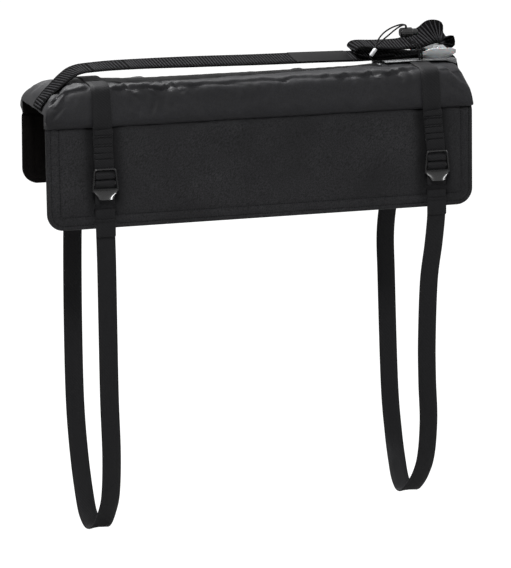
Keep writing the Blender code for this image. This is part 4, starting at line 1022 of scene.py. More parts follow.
@dataclass
class Flap:
    """One padded flap with a stitched, rolled edge."""

    label: str
    side: int
    height: float
    flare: float
    half: float = 290 * MM
    seam_half: float = 67.0 * MM
    seam_drop: float = 18 * MM
    corner: float = 22 * MM
    depth: float = 12.5 * MM
    stitch_offsets: tuple[float, ...] = (6 * MM, 17 * MM)
    strap_places: tuple[float, ...] = ()
    seed: int = 3
    strap_lean: float = 0.05

    # Depth, place beside the strap and width of the dents that each strap presses
    DENTS_MM = ((2.4, 0, 21), (1.2, -17, 6), (0.7, 17, 5))
    # Distances from the edge: of the mesh's columns, and of the face's profile with its two stitched grooves
    FINE_MM = (0, 0.4, 0.9, 1.6, 2.5, 3.5, 4.5, 5.4, 6, 6.7, 7.6, 9, 11, 13, 15, 16.2, 17, 17.8, 19, 21)
    EDGE_MM = (0, 0.5, 1.2, 2.5, 4.5, 6, 7.5, 11, 14.5, 17, 19, 24, 32, 45, 65)
    FACE_MM = (-6.25, -4.5, -3.5, -2.8, -2.5, -3.1, -2.3, -1.4, -2.1, -3.2, -2.2, -1.1, -0.4, 0.0, 0.4)

    def place(self, x: Any, drop: Any, out: Any) -> np.ndarray:
        """Put points on the flap.

        Args:
            x: Places along the pad.
            drop: Distances down from the seam.
            out: Distances out from the flap's outer face.

        Returns:
            Points, with x, y and z last.
        """
        x, drop, out = np.broadcast_arrays(x, drop, out)
        y = self.side * (self.seam_half + drop * math.sin(self.flare) + out * math.cos(self.flare))
        z = -self.seam_drop - drop * math.cos(self.flare) + out * math.sin(self.flare)
        return np.stack([x, y, z], -1)

    def reach(self, drop: np.ndarray, offset: float = 0.0) -> np.ndarray:
        """Give the flap's half length at each drop, or that of a line inside its edge."""
        radius = self.corner - offset
        down = np.clip(drop - (self.height - self.corner), 0, radius)
        return self.half - self.corner + np.sqrt(np.maximum(radius**2 - down**2, 0))

    def edge_distance(self, x: np.ndarray, drop: np.ndarray) -> np.ndarray:
        """Measure how far points lie from the flap's free edge.

        Args:
            x: Places along the pad.
            drop: Distances down from the seam.

        Returns:
            The distance of each, 0 on the edge.
        """
        in_x = np.abs(x) - (self.half - self.corner)
        in_z = drop - (self.height - self.corner)
        square = np.minimum(self.half - np.abs(x), self.height - drop)
        rounded = self.corner - np.hypot(np.maximum(in_x, 0), np.maximum(in_z, 0))
        return np.maximum(np.where((in_x > 0) & (in_z > 0), rounded, square), 0)

    def face(self, x: np.ndarray, drop: np.ndarray) -> np.ndarray:
        """Measure how far the padded face stands out.

        Args:
            x: Places along the pad.
            drop: Distances down from the seam.

        Returns:
            The height of each point in metres.
        """
        away = self.edge_distance(x, drop) / MM
        out = np.interp(away, self.EDGE_MM, self.FACE_MM)
        soft = np.clip((away - 4) / 30, 0, 1)
        out = out + soft * (
            0.55 * ripple(x / MM, drop / MM, 90, self.seed) + 0.16 * ripple(x / MM, drop / MM, 22, 9)
        )
        along = 0.14 * ripple(x / MM, drop / MM, 9, self.seed + 4) * np.exp(-(((away - 12) / 9) ** 2))
        out = out + along - 2.2 * np.exp(-((drop / (2.6 * MM)) ** 2))
        for place in self.strap_places:
            from_strap = (x - place - self.strap_lean * drop) / MM
            for deep, at, wide in self.DENTS_MM:
                out = out - deep * np.exp(-(((from_strap - at) / wide) ** 2)) * soft
        return out * MM

    def build(self, canvas: Any, lining: Any) -> Any:
        """Make the flap as one closed pad.

        Args:
            canvas: The outer face's material.
            lining: The inner face's material.

        Returns:
            The piece.
        """
        edge = np.array(self.FINE_MM) * MM
        middle = np.linspace(-self.half + 23 * MM, self.half - 23 * MM, 216)
        columns = np.concatenate([-self.half + edge, middle, self.half - edge[::-1]])
        upper = np.concatenate(
            [np.array([0, 1.2, 2.6, 4.2]) * MM, np.linspace(6 * MM, self.height - 23 * MM, 38)]
        )
        drops = np.concatenate([upper, self.height - edge[::-1]])
        x = columns[None, :] * self.reach(drops)[:, None] / self.half
        drop = np.broadcast_to(drops[:, None], x.shape)
        out = self.face(x, drop)
        front = self.place(x, drop, out)
        back = self.place(x, drop, -self.depth - np.where(self.edge_distance(x, drop) > 0, out * 0.8, out))
        rim = self.edge_distance(x, drop) <= 1e-9
        back[rim] = front[rim]
        rows, count = x.shape
        shift = rows * count
        verts = np.concatenate([front.reshape(-1, 3), back.reshape(-1, 3)])
        faces = grid_faces(rows, count)
        inside = grid_faces(rows, count, shift, True)
        faces += [(j, shift + j, shift + j + 1, j + 1) for j in range(1, count - 2)]
        made = make_object(self.label + "_flap", verts, faces + inside, canvas, 70)
        self.paint_strap_shade(made)
        made.data.materials.append(lining)
        self.tint_inside(made)
        return made

    def paint_strap_shade(self, made: Any) -> None:
        """Write a painted shade share beside the straps and under the ridge's hem along the seam, where they
        throw shade.

        Args:
            made: The flap.
        """
        coords = np.zeros(len(made.data.vertices) * 3, np.float32)
        made.data.vertices.foreach_get("co", coords)
        x, drop = coords[0::3], -coords[2::3] - self.seam_drop
        # Painted shade under the ridge's hem, along the seam
        painted_shade = 0.45 * np.exp(-((drop / (3 * MM)) ** 2))
        # Painted shade beside each strap, fading out near the flap's free edge
        for place in self.strap_places:
            beside = (np.abs(x - place - self.strap_lean * drop) - 13 * MM) / (11 * MM)
            painted_shade += 0.75 * np.exp(-(np.maximum(beside, 0) ** 2)) * np.clip(
                (self.height - drop) / (40 * MM), 0, 1
            )
        values = np.clip(painted_shade, 0, 1).astype(np.float32)
        made.data.attributes.new("painted_shade", "FLOAT", "POINT").data.foreach_set("value", values)

    def tint_inside(self, made: Any) -> None:
        """Give the faces on the channel's side the lining.

        Args:
            made: The flap.
        """
        middle = -self.depth / 2
        for face in made.data.polygons:
            y, z = face.center.y * self.side - self.seam_half, -face.center.z - self.seam_drop
            out = y * math.cos(self.flare) - z * math.sin(self.flare)
            face.material_index = 1 if out < middle - 0.2 * MM else 0

    def stitch_lines(self) -> list[list[Vector]]:
        """Give the stitch lines that run inside the flap's free edge.

        Returns:
            One list of points for each line.
        """
        lines = []
        corner_x, corner_z = self.half - self.corner, self.height - self.corner
        drops = np.linspace(3 * MM, corner_z, 50)
        bend = np.linspace(0, math.pi / 2, 12)[1:]
        bottom = np.linspace(corner_x, -corner_x, 160)[1:-1]
        for offset in self.stitch_offsets:
            radius = self.corner - offset
            run_x = np.concatenate(
                [np.full(len(drops), self.half - offset), corner_x + radius * np.cos(bend)]
            )
            run_z = np.concatenate([drops, corner_z + radius * np.sin(bend)])
            x = np.concatenate([run_x, bottom, -run_x[::-1]])
            drop = np.concatenate([run_z, np.full(len(bottom), self.height - offset), run_z[::-1]])
            points = self.place(x, drop, self.face(x, drop) + 0.15 * MM)
            lines.append([Vector(p) for p in points])
        return lines


# Straps


@dataclass
class FasteningStrap:
    """One fastening strap: over the ridge, through its ladder lock and round in a loop."""

    label: str
    x: float
    lean: float
    buckle_drop: float
    hanging: Sequence[Row]
    ridge: Ridge
    front: Flap
    back: Flap
    width: float = 25.4 * MM
    thickness: float = 1.5 * MM
    lap: float = 26 * MM
    back_stop: float = 14 * MM
    buckle_length: float = 41 * MM
    bar: float = 3.6 * MM
    upper_bar: float = 9.2 * MM
    lower_bar: float = 18.6 * MM
    bar_back: float = 2.2 * MM
    bar_front: float = 4.8 * MM
    keeper_thickness: float = 1.0 * MM
    tail_hem: float = 22 * MM
    tail_drop: float = 9 * MM
    rows_of_stitches: tuple[float, ...] = (9, 12, 21, 24, 32, 40)
    chape_spacing: float = 0.8 * MM
    stitch_dent: float = 0.9 * MM

    @property
    def layer(self) -> float:
        """Give the centre height of a strap that lies on the flap."""
        return GAP + self.thickness / 2

    def in_front(self, drop: float, out: float, across: float = 0.0) -> Vector:
        """Put one point on the front flap, on the strap's leaning centre line or beside it."""
        share = min(1.0, drop / self.buckle_drop)
        return Vector(self.front.place(self.x + self.lean * share + across, drop, out))

    def behind(self, drop: float) -> Vector:
        """Put one point of the strap on the back flap."""
        return Vector(self.back.place(self.x, drop, self.layer))

    def bar_wrap(self, bar_drop: float, from_below: bool) -> list[tuple[float, float]]:
        """Give the strap's path round a bar as (drop, out) pairs.

        Args:
            bar_drop: The bar's upper edge below the lock's top.
            from_below: True where the strap comes from below the bar.

        Returns:
            The path, from behind the bar to its front and back again.
        """
        layer = self.layer
        middle = bar_drop + self.bar / 2
        front, second = self.bar_front + layer, self.bar_back + layer - 0.1 * MM
        sign = -1 if from_below else 1
        reach, centre = self.bar / 2 + layer, (layer + front) / 2
        points = [(middle + sign * (reach - 0.6 * MM), layer)]
        points += [(middle + sign * (reach + 0.5 * MM), centre + up * 1.1 * MM) for up in (-1, 1)]
        points += [(middle + sign * (reach - 0.8 * MM), front), (middle - sign * (reach - 1.0 * MM), front)]
        points += [(middle - sign * (reach + 0.6 * MM), front - 1.0 * MM)]
        points += [(middle - sign * (reach + 1.8 * MM), second + 0.5 * MM)]
        return points + [(middle - sign * (reach + 3.6 * MM), second)]

    def over_ridge(self) -> list[Vector]:
        """Lay the strap's run over the ridge.

        Returns:
            The points of its centre line.
        """
        turns = np.linspace(0, math.pi, 73)
        here = self.ridge.shape(np.array(self.x), turns)
        slope = np.gradient(here, axis=0)
        normal = np.stack([slope[:, 0] * 0, -slope[:, 2], slope[:, 1]], -1)
        normal /= np.linalg.norm(normal, axis=1, keepdims=True)
        return [Vector(p) for p in here + normal * (self.layer + 0.25 * MM)]

    def ribbon(self, name: str, points: Sequence[Vector], finish: Any, spacing: float) -> Any:
        """Sweep the webbing along points, with its width along X; the chape is dented by its stitches.

        Args:
            name: The piece's name.
            points: The chosen points of its centre line.
            finish: The material.
            spacing: The distance from section to section.

        Returns:
            The webbing.
        """
        route = catmull_rom(points, spacing)
        for place in route if spacing == self.chape_spacing else ():
            drop = -(place.z + self.front.seam_drop) / math.cos(self.front.flare) / MM
            for row in self.rows_of_stitches:
                place.y += self.stitch_dent * math.exp(-(((drop - row) / 0.8) ** 2))
        across = [Vector((1, 0, 0))] * len(route)
        return sweep(name, route, across, strap_section(self.width, self.thickness), finish)

    def build(self, webbing: Any) -> None:
        """Make the strap's three runs of webbing.

        Args:
            webbing: The material.
        """
        flap_end = self.back.height - self.back_stop
        front_run = [self.in_front(d * MM, o * MM) for d, o in ((26, 1.3), (15, 1.6), (9, 2.4))]
        back_run = [self.behind(d) for d in (12 * MM, flap_end / 2, flap_end)]
        over = front_run + self.over_ridge()[3:-1] + back_run
        made = self.ribbon(self.label + "_ridge_webbing", over, webbing, 3 * MM)
        settle(made, Body.PAD, "webbing", self.label + "_strap_over")
        double = self.layer * 2 + self.thickness / 2 + GAP
        drop = self.buckle_drop
        chape = [(self.lap + 4 * MM, self.layer), (drop, self.layer)]
        chape += [(drop + s, o) for s, o in self.bar_wrap(self.upper_bar, False)]
        chape += [(drop - 4 * MM, double - 0.4 * MM), (self.lap + 6 * MM, double)]
        chape += [(self.lap - 8 * MM, double + 0.5 * MM), (8 * MM, 5.6 * MM), (2 * MM, 6.0 * MM)]
        points = [self.in_front(d, o) for d, o in chape]
        made = self.ribbon(self.label + "_lock_webbing", points, webbing, self.chape_spacing)
        settle(made, Body.PAD, "webbing", self.label + "_chape")
        self.build_loop(webbing, flap_end)

    def build_loop(self, webbing: Any, flap_end: float) -> None:
        """Make the strap that hangs in a loop, with its folded tail.

        Args:
            webbing: The material.
            flap_end: The drop at which the back of the strap is sewn.
        """
        drop, layer, thick = self.buckle_drop, self.layer, self.thickness
        keeper = drop + self.buckle_length + 6 * MM
        leg_out = self.keeper_thickness + 2 * GAP + thick / 2
        tail_out = leg_out + thick + GAP
        tail_end = self.front.height + self.tail_drop
        hem_out = tail_out + thick + GAP
        profile = [(tail_end - self.tail_hem, hem_out), (tail_end - 1.5 * MM, hem_out)]
        profile += [(tail_end, (tail_out + hem_out) / 2), (tail_end - 1.5 * MM, tail_out)]
        profile += [(tail_end - self.tail_hem, tail_out), (keeper + 5 * MM, tail_out), (keeper, tail_out)]
        profile += [(drop + 33 * MM, self.bar_back + layer - 0.1 * MM)]
        profile += [(drop + s, o) for s, o in reversed(self.bar_wrap(self.lower_bar, True))]
        profile += [(drop + 33 * MM, layer)]
        profile += [(place, leg_out) for place in (keeper, keeper + 5 * MM, self.front.height)]
        upper = [self.in_front(d, o) for d, o in profile]
        hanging = [Vector((self.x, 0, 0)) + Vector(row) * MM for row in self.hanging]
        rise = [self.behind(d) for d in (self.back.height, flap_end + 6 * MM)]
        route = self.ribbon(self.label + "_hanging_webbing", upper + hanging + rise, webbing, 2.0 * MM)
        settle(route, Body.PAD, "webbing", self.label + "_loop_strap")

    def stitch_lines(self) -> list[list[Vector]]:
        """Give the rows of stitches across the strap.

        Returns:
            One list of points for each row.
        """
        half = self.width / 2 - 2 * MM
        out = self.layer * 2 + self.thickness + GAP + 0.35 * MM
        lines = []
        for drop in self.rows_of_stitches:
            high = out + (1.6 * MM if drop < 14 else -0.5 * MM)
            lines.append([self.in_front(drop * MM, high, s * half) for s in (-1, -0.5, 0, 0.5, 1)])
        thick = self.thickness + GAP
        tail = (
            self.keeper_thickness + 2 * GAP + self.thickness / 2 + 2 * thick + self.thickness / 2 + 0.15 * MM
        )
        end = self.front.height + self.tail_drop - self.tail_hem + 3 * MM
        lines.append([self.in_front(end, tail, s * half) for s in (-1, -0.5, 0, 0.5, 1)])
        return lines


@dataclass
class LadderLock:
    """A moulded ladder lock: a round-cornered frame, two bars and a hollow thumb tab."""

    strap: FasteningStrap
    half: float = 16.2 * MM
    top_half: float = 14.2 * MM
    top: float = 1.8 * MM
    foot: float = 30.5 * MM
    tab_half: float = 9.5 * MM
    face: float = 6.2 * MM

    def tube(self, name: str, rows: Sequence[Row], wide: float, deep: float, finish: Any) -> Any:
        """Sweep an oval rod through (across, drop, out) rows.

        Args:
            name: The rod's name.
            rows: Its points in metres, from the lock's top.
            wide: Its width along the flap.
            deep: Its depth out of the flap.
            finish: The material.

        Returns:
            The rod.
        """
        strap = self.strap
        points = [strap.in_front(strap.buckle_drop + drop, out, across) for across, drop, out in rows]
        route = catmull_rom(points, 1.2 * MM)
        section = [(a * deep, b * wide) for a, b in round_section(0.5, 16)]
        return sweep(name, route, [Vector((0, -1, 0))] * len(route), section, finish)

    def build(self, finish: Any) -> None:
        """Make the lock from its frame, bars and tab.

        Args:
            finish: The material.
        """
        half, top, foot, face = self.half, self.top, self.foot, self.face
        high, round_off = self.top_half, 3.6 * MM
        side = [(high - round_off, top, face), (high - MM, top + MM, face), (high, top + round_off, face)]
        side += [((high + half) / 2, foot * 0.5, face), (half, foot * 0.8, face), (half, foot, face)]
        rim = [(-a, d, o) for a, d, o in reversed(side)] + side
        rods = [self.tube("frame", rim, 2.3 * MM, 3.4 * MM, finish)]
        strap = self.strap
        for bar in (strap.upper_bar, strap.lower_bar):
            middle = bar + strap.bar / 2
            out = (strap.bar_back + strap.bar_front) / 2
            row = [(-high, middle, out), (high, middle, out)]
            rods.append(self.tube("bar", row, strap.bar, strap.bar_front - strap.bar_back, finish))
        rods.append(self.tab(finish))
        lock = rods[0]
        work = bmesh.new()
        for rod in rods:
            work.from_mesh(rod.data)
        work.to_mesh(lock.data)
        work.free()
        for rod in rods[1:]:
            bpy.data.objects.remove(rod, do_unlink=True)
        lock.name = strap.label + "_moulded_lock"
        smooth(lock.data, 50)
        settle(lock, Body.PAD, "acetal", strap.label + "_ladder_lock")

    def tab(self, finish: Any) -> Any:
        """Make the thumb tab: narrower towards its end, hollow across, with a raised lip.

        Args:
            finish: The material.

        Returns:
            The tab.
        """
        strap = self.strap
        across = np.linspace(-1, 1, 25)
        down = np.linspace(0, 1, 17)
        start, end = self.foot - 3.5 * MM, strap.buckle_length
        verts = []
        for thick in (0.0, 1.9 * MM):
            for d in down:
                half = self.half + 0.3 * MM + (self.tab_half - self.half) * (
                    0.5 - 0.5 * math.cos(math.pi * d)
                )
                for a in across:
                    lip = 3.4 * MM * d**2.5 + 1.2 * MM * abs(a) ** 3
                    out = self.face + 0.5 * MM + lip - thick * (1 - 0.35 * abs(a) ** 4)
                    drop = start + (end - start) * d - 1.6 * MM * d * abs(a) ** 4
                    verts.append(tuple(strap.in_front(strap.buckle_drop + drop, out, a * half)))
        wide, tall = len(across), len(down)
        size = wide * tall
        faces = grid_faces(tall, wide) + grid_faces(tall, wide, size, True)
        sides = [i * wide + j for i in range(tall - 1) for j in (0, wide - 1)]
        faces += [(a, a + wide, size + a + wide, size + a) for a in sides]
        ends = [i * wide + j for i in (0, tall - 1) for j in range(wide - 1)]
        faces += [(a, a + 1, size + a + 1, size + a) for a in ends]
        return make_object("tab", np.array(verts), faces, finish, 60)


# The hanging loops' centre lines in mm, from the front flap round to the back one
LEFT_HANGING = (
    (2, -75, -165), (3, -74, -201), (5, -70, -290), (8, -63, -378), (14.5, -47, -457),
    (17.5, -30, -515), (16, -16, -545), (12, -3, -566), (6, 8, -569), (1, 17, -560),
    (-1.5, 28, -540), (-3.5, 49, -484), (-5, 63, -410), (-5, 69, -300), (-4, 70.5, -193),
    (-2, 70, -135),
)
RIGHT_HANGING = (
    (5.5, -76, -165), (3, -74, -200), (-0.5, -68, -250), (-0.5, -63, -330), (2.5, -58, -389),
    (9.5, -46, -446), (12.5, -30, -500), (9, -17, -532), (1, -5, -553), (-4, 6, -556),
    (-7, 17, -545), (-7, 30, -525), (-6, 49, -488), (-8, 61, -421), (-11.4, 68, -274),
    (-12, 70.5, -204), (-3.5, 70, -135),
)


@dataclass
class BoardStrap:
    """The wide strap along the ridge with its ribs and free tail, and the webbing that anchors its buckle."""

    ribs: WebbingRibs
    width: float = 38 * MM
    thickness: float = 1.6 * MM
    cam_x: float = 262.0
    cam_y: float = 13.0
    level: float = 42.84
    frame_base: float = 40.24
    frame_half: float = 17.0
    pad_end: float = 283.0
    pad_top: float = 38.04
    rim: float = 291.1
    # Half the ribs' pitch; the real 3.3 mm pitch is too fine to show, so they stand 4.1 mm apart
    rib_step: float = 2.05 * MM
    rib_width: float = 2.3 * MM
    rib_height: float = 1.5 * MM

    # Rows of x, y and z in mm, and of the strap's width direction
    ROUTE = (
        (-290.9, -26, 4.2, 0, 1, 0), (-289.0, -26, 9.5, 0, 1, 0), (-282.5, -26, 17.5, 0, 1, 0),
        (-270, -23.5, 28.0, 0, 1, 0.06), (-252, -18.5, 41.2, 0, 1, 0.12), (-236, -14, 48.6, 0, 1, 0.13),
        (-215, -12, 50.9, 0, 1, 0.14), (-165, -8, 51.4, 0, 1, 0.16), (-70, -3, 49.4, 0, 1, 0.2),
        (10, 0, 47.2, 0, 1, 0.2), (90, 7, 45.0, 0, 1, 0.2), (155, 11.5, 42.9, 0, 1, 0.2),
        (205, 13, 43.4, 0, 1, 0.17),
    )
    TAIL = (
        (279, 13.3, 49.2, 0, 1, 0.03), (282.3, 14.2, 54, -0.12, 1, 0.25), (281, 16.5, 60.5, -0.4, 0.7, 0.6),
        (274.4, 17.5, 67.3, -0.43, 0.5, 0.74), (264.5, 16.7, 69.0, -0.3, 0.62, 0.7),
        (252.5, 15.2, 64.8, -0.13, 0.82, 0.52), (238.5, 13.2, 59.0, 0.02, 0.93, 0.4),
        (215, 13, 55.6, 0, 1, 0.22), (180, 13, 56.4, 0, 1, 0.17),
        (163, 13, 58.2, 0, 1, 0.12), (152.5, 13, 57.6, 0, 1, 0.1), (148, 13, 53.0, 0, 1, 0.1),
        (151.5, 13, 48.6, 0, 1, 0.14), (161, 13, 46.6, 0, 1, 0.19), (178, 13, 46.5, 0, 1, 0.19),
        (202, 13.2, 47.0, 0, 1, 0.17),
    )

    def rows(self) -> list[tuple[float, ...]]:
        """Give the strap's chosen points and width directions."""
        x, y = self.cam_x, self.cam_y
        inside = [
            (x + step, y, self.level + up, 0, 1, 0) for step, up in ((-27, 0), (-16, 0), (3, 0), (11, 3.9))
        ]
        return [*self.ROUTE, *inside, *self.TAIL]

    def stations(self, spacing: float) -> tuple[list[Vector], list[Vector]]:
        """Give points and width directions along the whole strap.

        Args:
            spacing: The distance between points.

        Returns:
            The points, and the width direction at each.
        """
        rows = self.rows()
        knots = [Vector(row[:3]) * MM for row in rows]
        ways = [Vector(row[3:]).normalized() for row in rows]
        widths: list[Vector] = []
        for i in range(len(rows) - 1):
            steps = max(1, round((knots[i + 1] - knots[i]).length / spacing))
            for step in range(steps):
                t = step / steps
                widths.append(ways[i].lerp(ways[i + 1], t * t * (3 - 2 * t)))
        widths.append(ways[-1])
        return catmull_rom(knots, spacing), widths

    def build(self, webbing: Any) -> None:
        """Make the strap, its ribs and the webbing that anchors the buckle.

        Args:
            webbing: The material.
        """
        centres, widths = self.stations(self.rib_step)
        strap = sweep("board_webbing", centres, widths, strap_section(self.width, self.thickness), webbing)
        settle(strap, Body.PAD, "board_webbing", "board_strap")
        seats = []
        last = len(centres) - 1
        for i in range(2, last - 1, 2):
            tangent = (centres[i + 1] - centres[i - 1]).normalized()
            across = (widths[i] - tangent * widths[i].dot(tangent)).normalized()
            face = tangent.cross(across)
            for side in (-1, 1):
                seats.append((centres[i] + face * (side * self.thickness * 0.46), across, face * side))
        sizes = {"Rib Length": self.width * 1.04, "Rib Width": self.rib_width, "Rib Height": self.rib_height}
        settle(self.ribs.lay("board_webbing_ribs", seats, sizes), Body.PAD, "board_webbing")
        self.build_anchor(webbing)

    def build_anchor(self, webbing: Any) -> None:
        """Make the webbing that ties the buckle's bar to the pad's end.

        Args:
            webbing: The material.
        """
        right = self.cam_x + self.frame_half
        out = GAP / MM + self.thickness / MM / 2
        low, high = self.frame_base + 0.2, self.frame_base + 3.0
        bar_left, bar_right = right - 3.2, right - 0.2
        profile = [(bar_left - out - 0.3, low + 0.6), (bar_left - out, high + out * 0.4)]
        profile += [
            (bar_left - out * 0.2, high + out), (bar_right + out * 0.1, high + out), (bar_right + out, high)
        ]
        profile += [(bar_right + out + 0.6, low + 0.6), (self.pad_end + 1.7, self.pad_top + 0.5)]
        profile += [
            (self.rim - 3.6, 34), (self.rim - 1.6, 27), (self.rim - 0.4, 20), (self.rim, 12), (self.rim, 1)
        ]
        route = catmull_rom([Vector((x, self.cam_y, z)) * MM for x, z in profile], 1.2 * MM)
        across = [Vector((0, 1, 0))] * len(route)
        anchor = sweep(
            "buckle_anchor_webbing", route, across, strap_section(self.width, self.thickness), webbing
        )
        settle(anchor, Body.PAD, "board_webbing", "anchor_webbing")


@dataclass
class Guard:
    """The soft boat-shaped guard round the cam buckle."""

    centre: tuple[float, float] = (262 * MM, 13 * MM)
    base: float = 38.34 * MM
    length: float = 54 * MM
    width: float = 57 * MM
    height: float = 13 * MM
    wall: float = 1.6 * MM
    mouth_half: float = 20.2 * MM
    corners: int = 96

    def ring(self, trim: float, level: float) -> list[Vector]:
        """Draw one outline of the hull.

        Args:
            trim: How far inside the outer face it lies.
            level: Its height, from 0 at the foot to 1 at the rim.

        Returns:
            The outline's points.
        """
        points = []
        spread = min(1.0, 0.74 + 0.5 * level)
        for i in range(self.corners):
            turn = math.tau * i / self.corners
            c, s = math.cos(turn), math.sin(turn)
            x = math.copysign(abs(c) ** 0.55, c) * (self.length / 2 * spread - trim)
            y = math.copysign(abs(s) ** 0.5, s) * (self.width / 2 * (0.5 + spread / 2) - trim)
            tip = max(0.0, min(1.0, (abs(x) / (self.length / 2) - 0.45) / 0.55))
            high = self.height * (1 - (0.62 if x < 0 else 0.34) * tip**1.6)
            points.append(
                Vector((self.centre[0] + x, self.centre[1] + y, self.base + trim * 0.2 + high * level))
            )
        return points

    def build(self, silicone: Any) -> Any:
        """Make the guard as one closed shell with its two mouths cut away.

        Args:
            silicone: The material.

        Returns:
            The piece.
        """
        levels = (0.0, 0.12, 0.3, 0.55, 0.8, 0.95, 1.0)
        rings = [self.ring(0.0, level) for level in levels]
        rings += [self.ring(self.wall * 0.5, 1.03)]
        rings += [self.ring(self.wall, level) for level in (1.0, 0.8, 0.55, 0.3, 0.16)]
        verts = np.array([point for ring in rings for point in ring])
        guard = make_object("silicone_guard", verts, tube_faces(len(rings), self.corners), silicone, 40)
        floor = self.base + self.wall + 0.4 * MM
        far = self.length
        sides = [(0, 1, 3, 2), (4, 6, 7, 5), (0, 4, 5, 1), (2, 3, 7, 6), (0, 2, 6, 4), (1, 5, 7, 3)]
        x, y = self.centre
        for name, low, high in (
            ("mouth", (-far, -self.mouth_half, floor), (far, self.mouth_half, floor + 60 * MM)),
            (
                "way_out",
                (14.6 * MM, -self.mouth_half, self.base - 5 * MM),
                (far, self.mouth_half, floor + MM),
            ),
        ):
            spans = zip(low, high)
            corners = [(x + a, y + b, c) for a, b, c in itertools.product(*spans)]
            cutter = make_object("guard_" + name, np.array(corners), sides, silicone)
            cut = guard.modifiers.new(name, "BOOLEAN")
            cut.operation = "DIFFERENCE"
            cut.object = cutter
            plain_mesh(guard)
            bpy.data.objects.remove(cutter, do_unlink=True)
        guard.data.materials.clear()
        guard.data.materials.append(silicone)
        smooth(guard.data, 40)
        return settle(guard, Body.PAD, "silicone", "buckle_guard")


# Elastic cord


@dataclass
class ElasticCord:
    """The elastic cord's two strands and its tether."""

    finish: Any
    diameter: float = 2.2 * MM
    tether_diameter: float = 2 * MM
    rear_foot: float = 37.3
    front_foot: float = 37.5
    tether_foot: float = 34.6

    REAR = (
        (172.2, -12.2, 57.6), (173.6, -12, 62), (177.6, -10.7, 69), (185, -8.2, 75.4), (194.5, -4.7, 79.8),
        (205, -0.3, 82.4), (213.5, 2, 83.4), (218.6, 2.25, 82), (219, 2.25, 78), (219, 2.25, 69),
        (219.1, 2.2, 66), (220.6, 1.5, 63.4), (225.6, -1.8, 60.8), (231.5, -7.5, 58.6), (235.6, -11.6, 53),
        (236.6, -13.2, 45),
    )
    FRONT = (
        (170.6, -14.9, 57.7), (173.8, -14.9, 61), (181, -13.6, 66.4), (190.5, -11.2, 72.4), (201, -6.9, 78.4),
        (210.5, -2.6, 82.2), (217.2, -0.5, 82.9), (219, -0.25, 80), (219, -0.25, 69), (219, -0.35, 66),
        (219.8, -2.2, 63.2), (223.2, -7.6, 60.6), (228, -12.4, 58), (231, -14.9, 51.6), (232, -15.6, 45),
    )
    TETHER = (
        (164.3, -13.5, 45.4), (165.0, -13.4, 42.6), (168.4, -13.0, 39.6),
        (173.6, -12.7, 38.4), (176.9, -12.5, 36.6),
    )

    def tube(self, name: str, rows: Sequence[Row], diameter: float) -> tuple[Any, list[Vector]]:
        """Make one round cord along chosen points.

        Args:
            name: The piece's name.
            rows: The chosen points in millimetres, from the cord's foot.
            diameter: The cord's diameter.

        Returns:
            The cord and its centre line.
        """
        path = catmull_rom([Vector(row) * MM for row in rows], 1.3 * MM)
        across = [Vector((0.05, 1, 0.02))]
        for i in range(1, len(path)):
            tangent = (path[i] - path[i - 1]).normalized()
            across.append((across[-1] - tangent * across[-1].dot(tangent)).normalized())
        return sweep(name, path, across, round_section(diameter / 2), self.finish), path

    def build(self, pieces: Sequence[Any]) -> None:
        """Args:
            pieces: The lock, its plunger and spring, and the clip; not used.
        """
        tether = [(177.5, -12.5, self.tether_foot), *reversed(self.TETHER)]
        short, _ = self.tube("tether_elastic", tether, self.tether_diameter)
        settle(short, Body.PAD, "elastic", "clip_tether")
        rear = [(*self.REAR[-1][:2], self.rear_foot), *reversed(self.REAR)]
        front = [(*self.FRONT[-1][:2], self.front_foot), *reversed(self.FRONT)]
        for name, rows, node, fittings in (
            ("rear_elastic", rear, "elastic_rear_strand", (*pieces, short)),
            ("front_elastic", front, "elastic_front_strand", (pieces[-1],)),
        ):
            made, path = self.tube(name, rows, self.diameter)
            settle(made, Body.PAD, "elastic", node)


# Studio


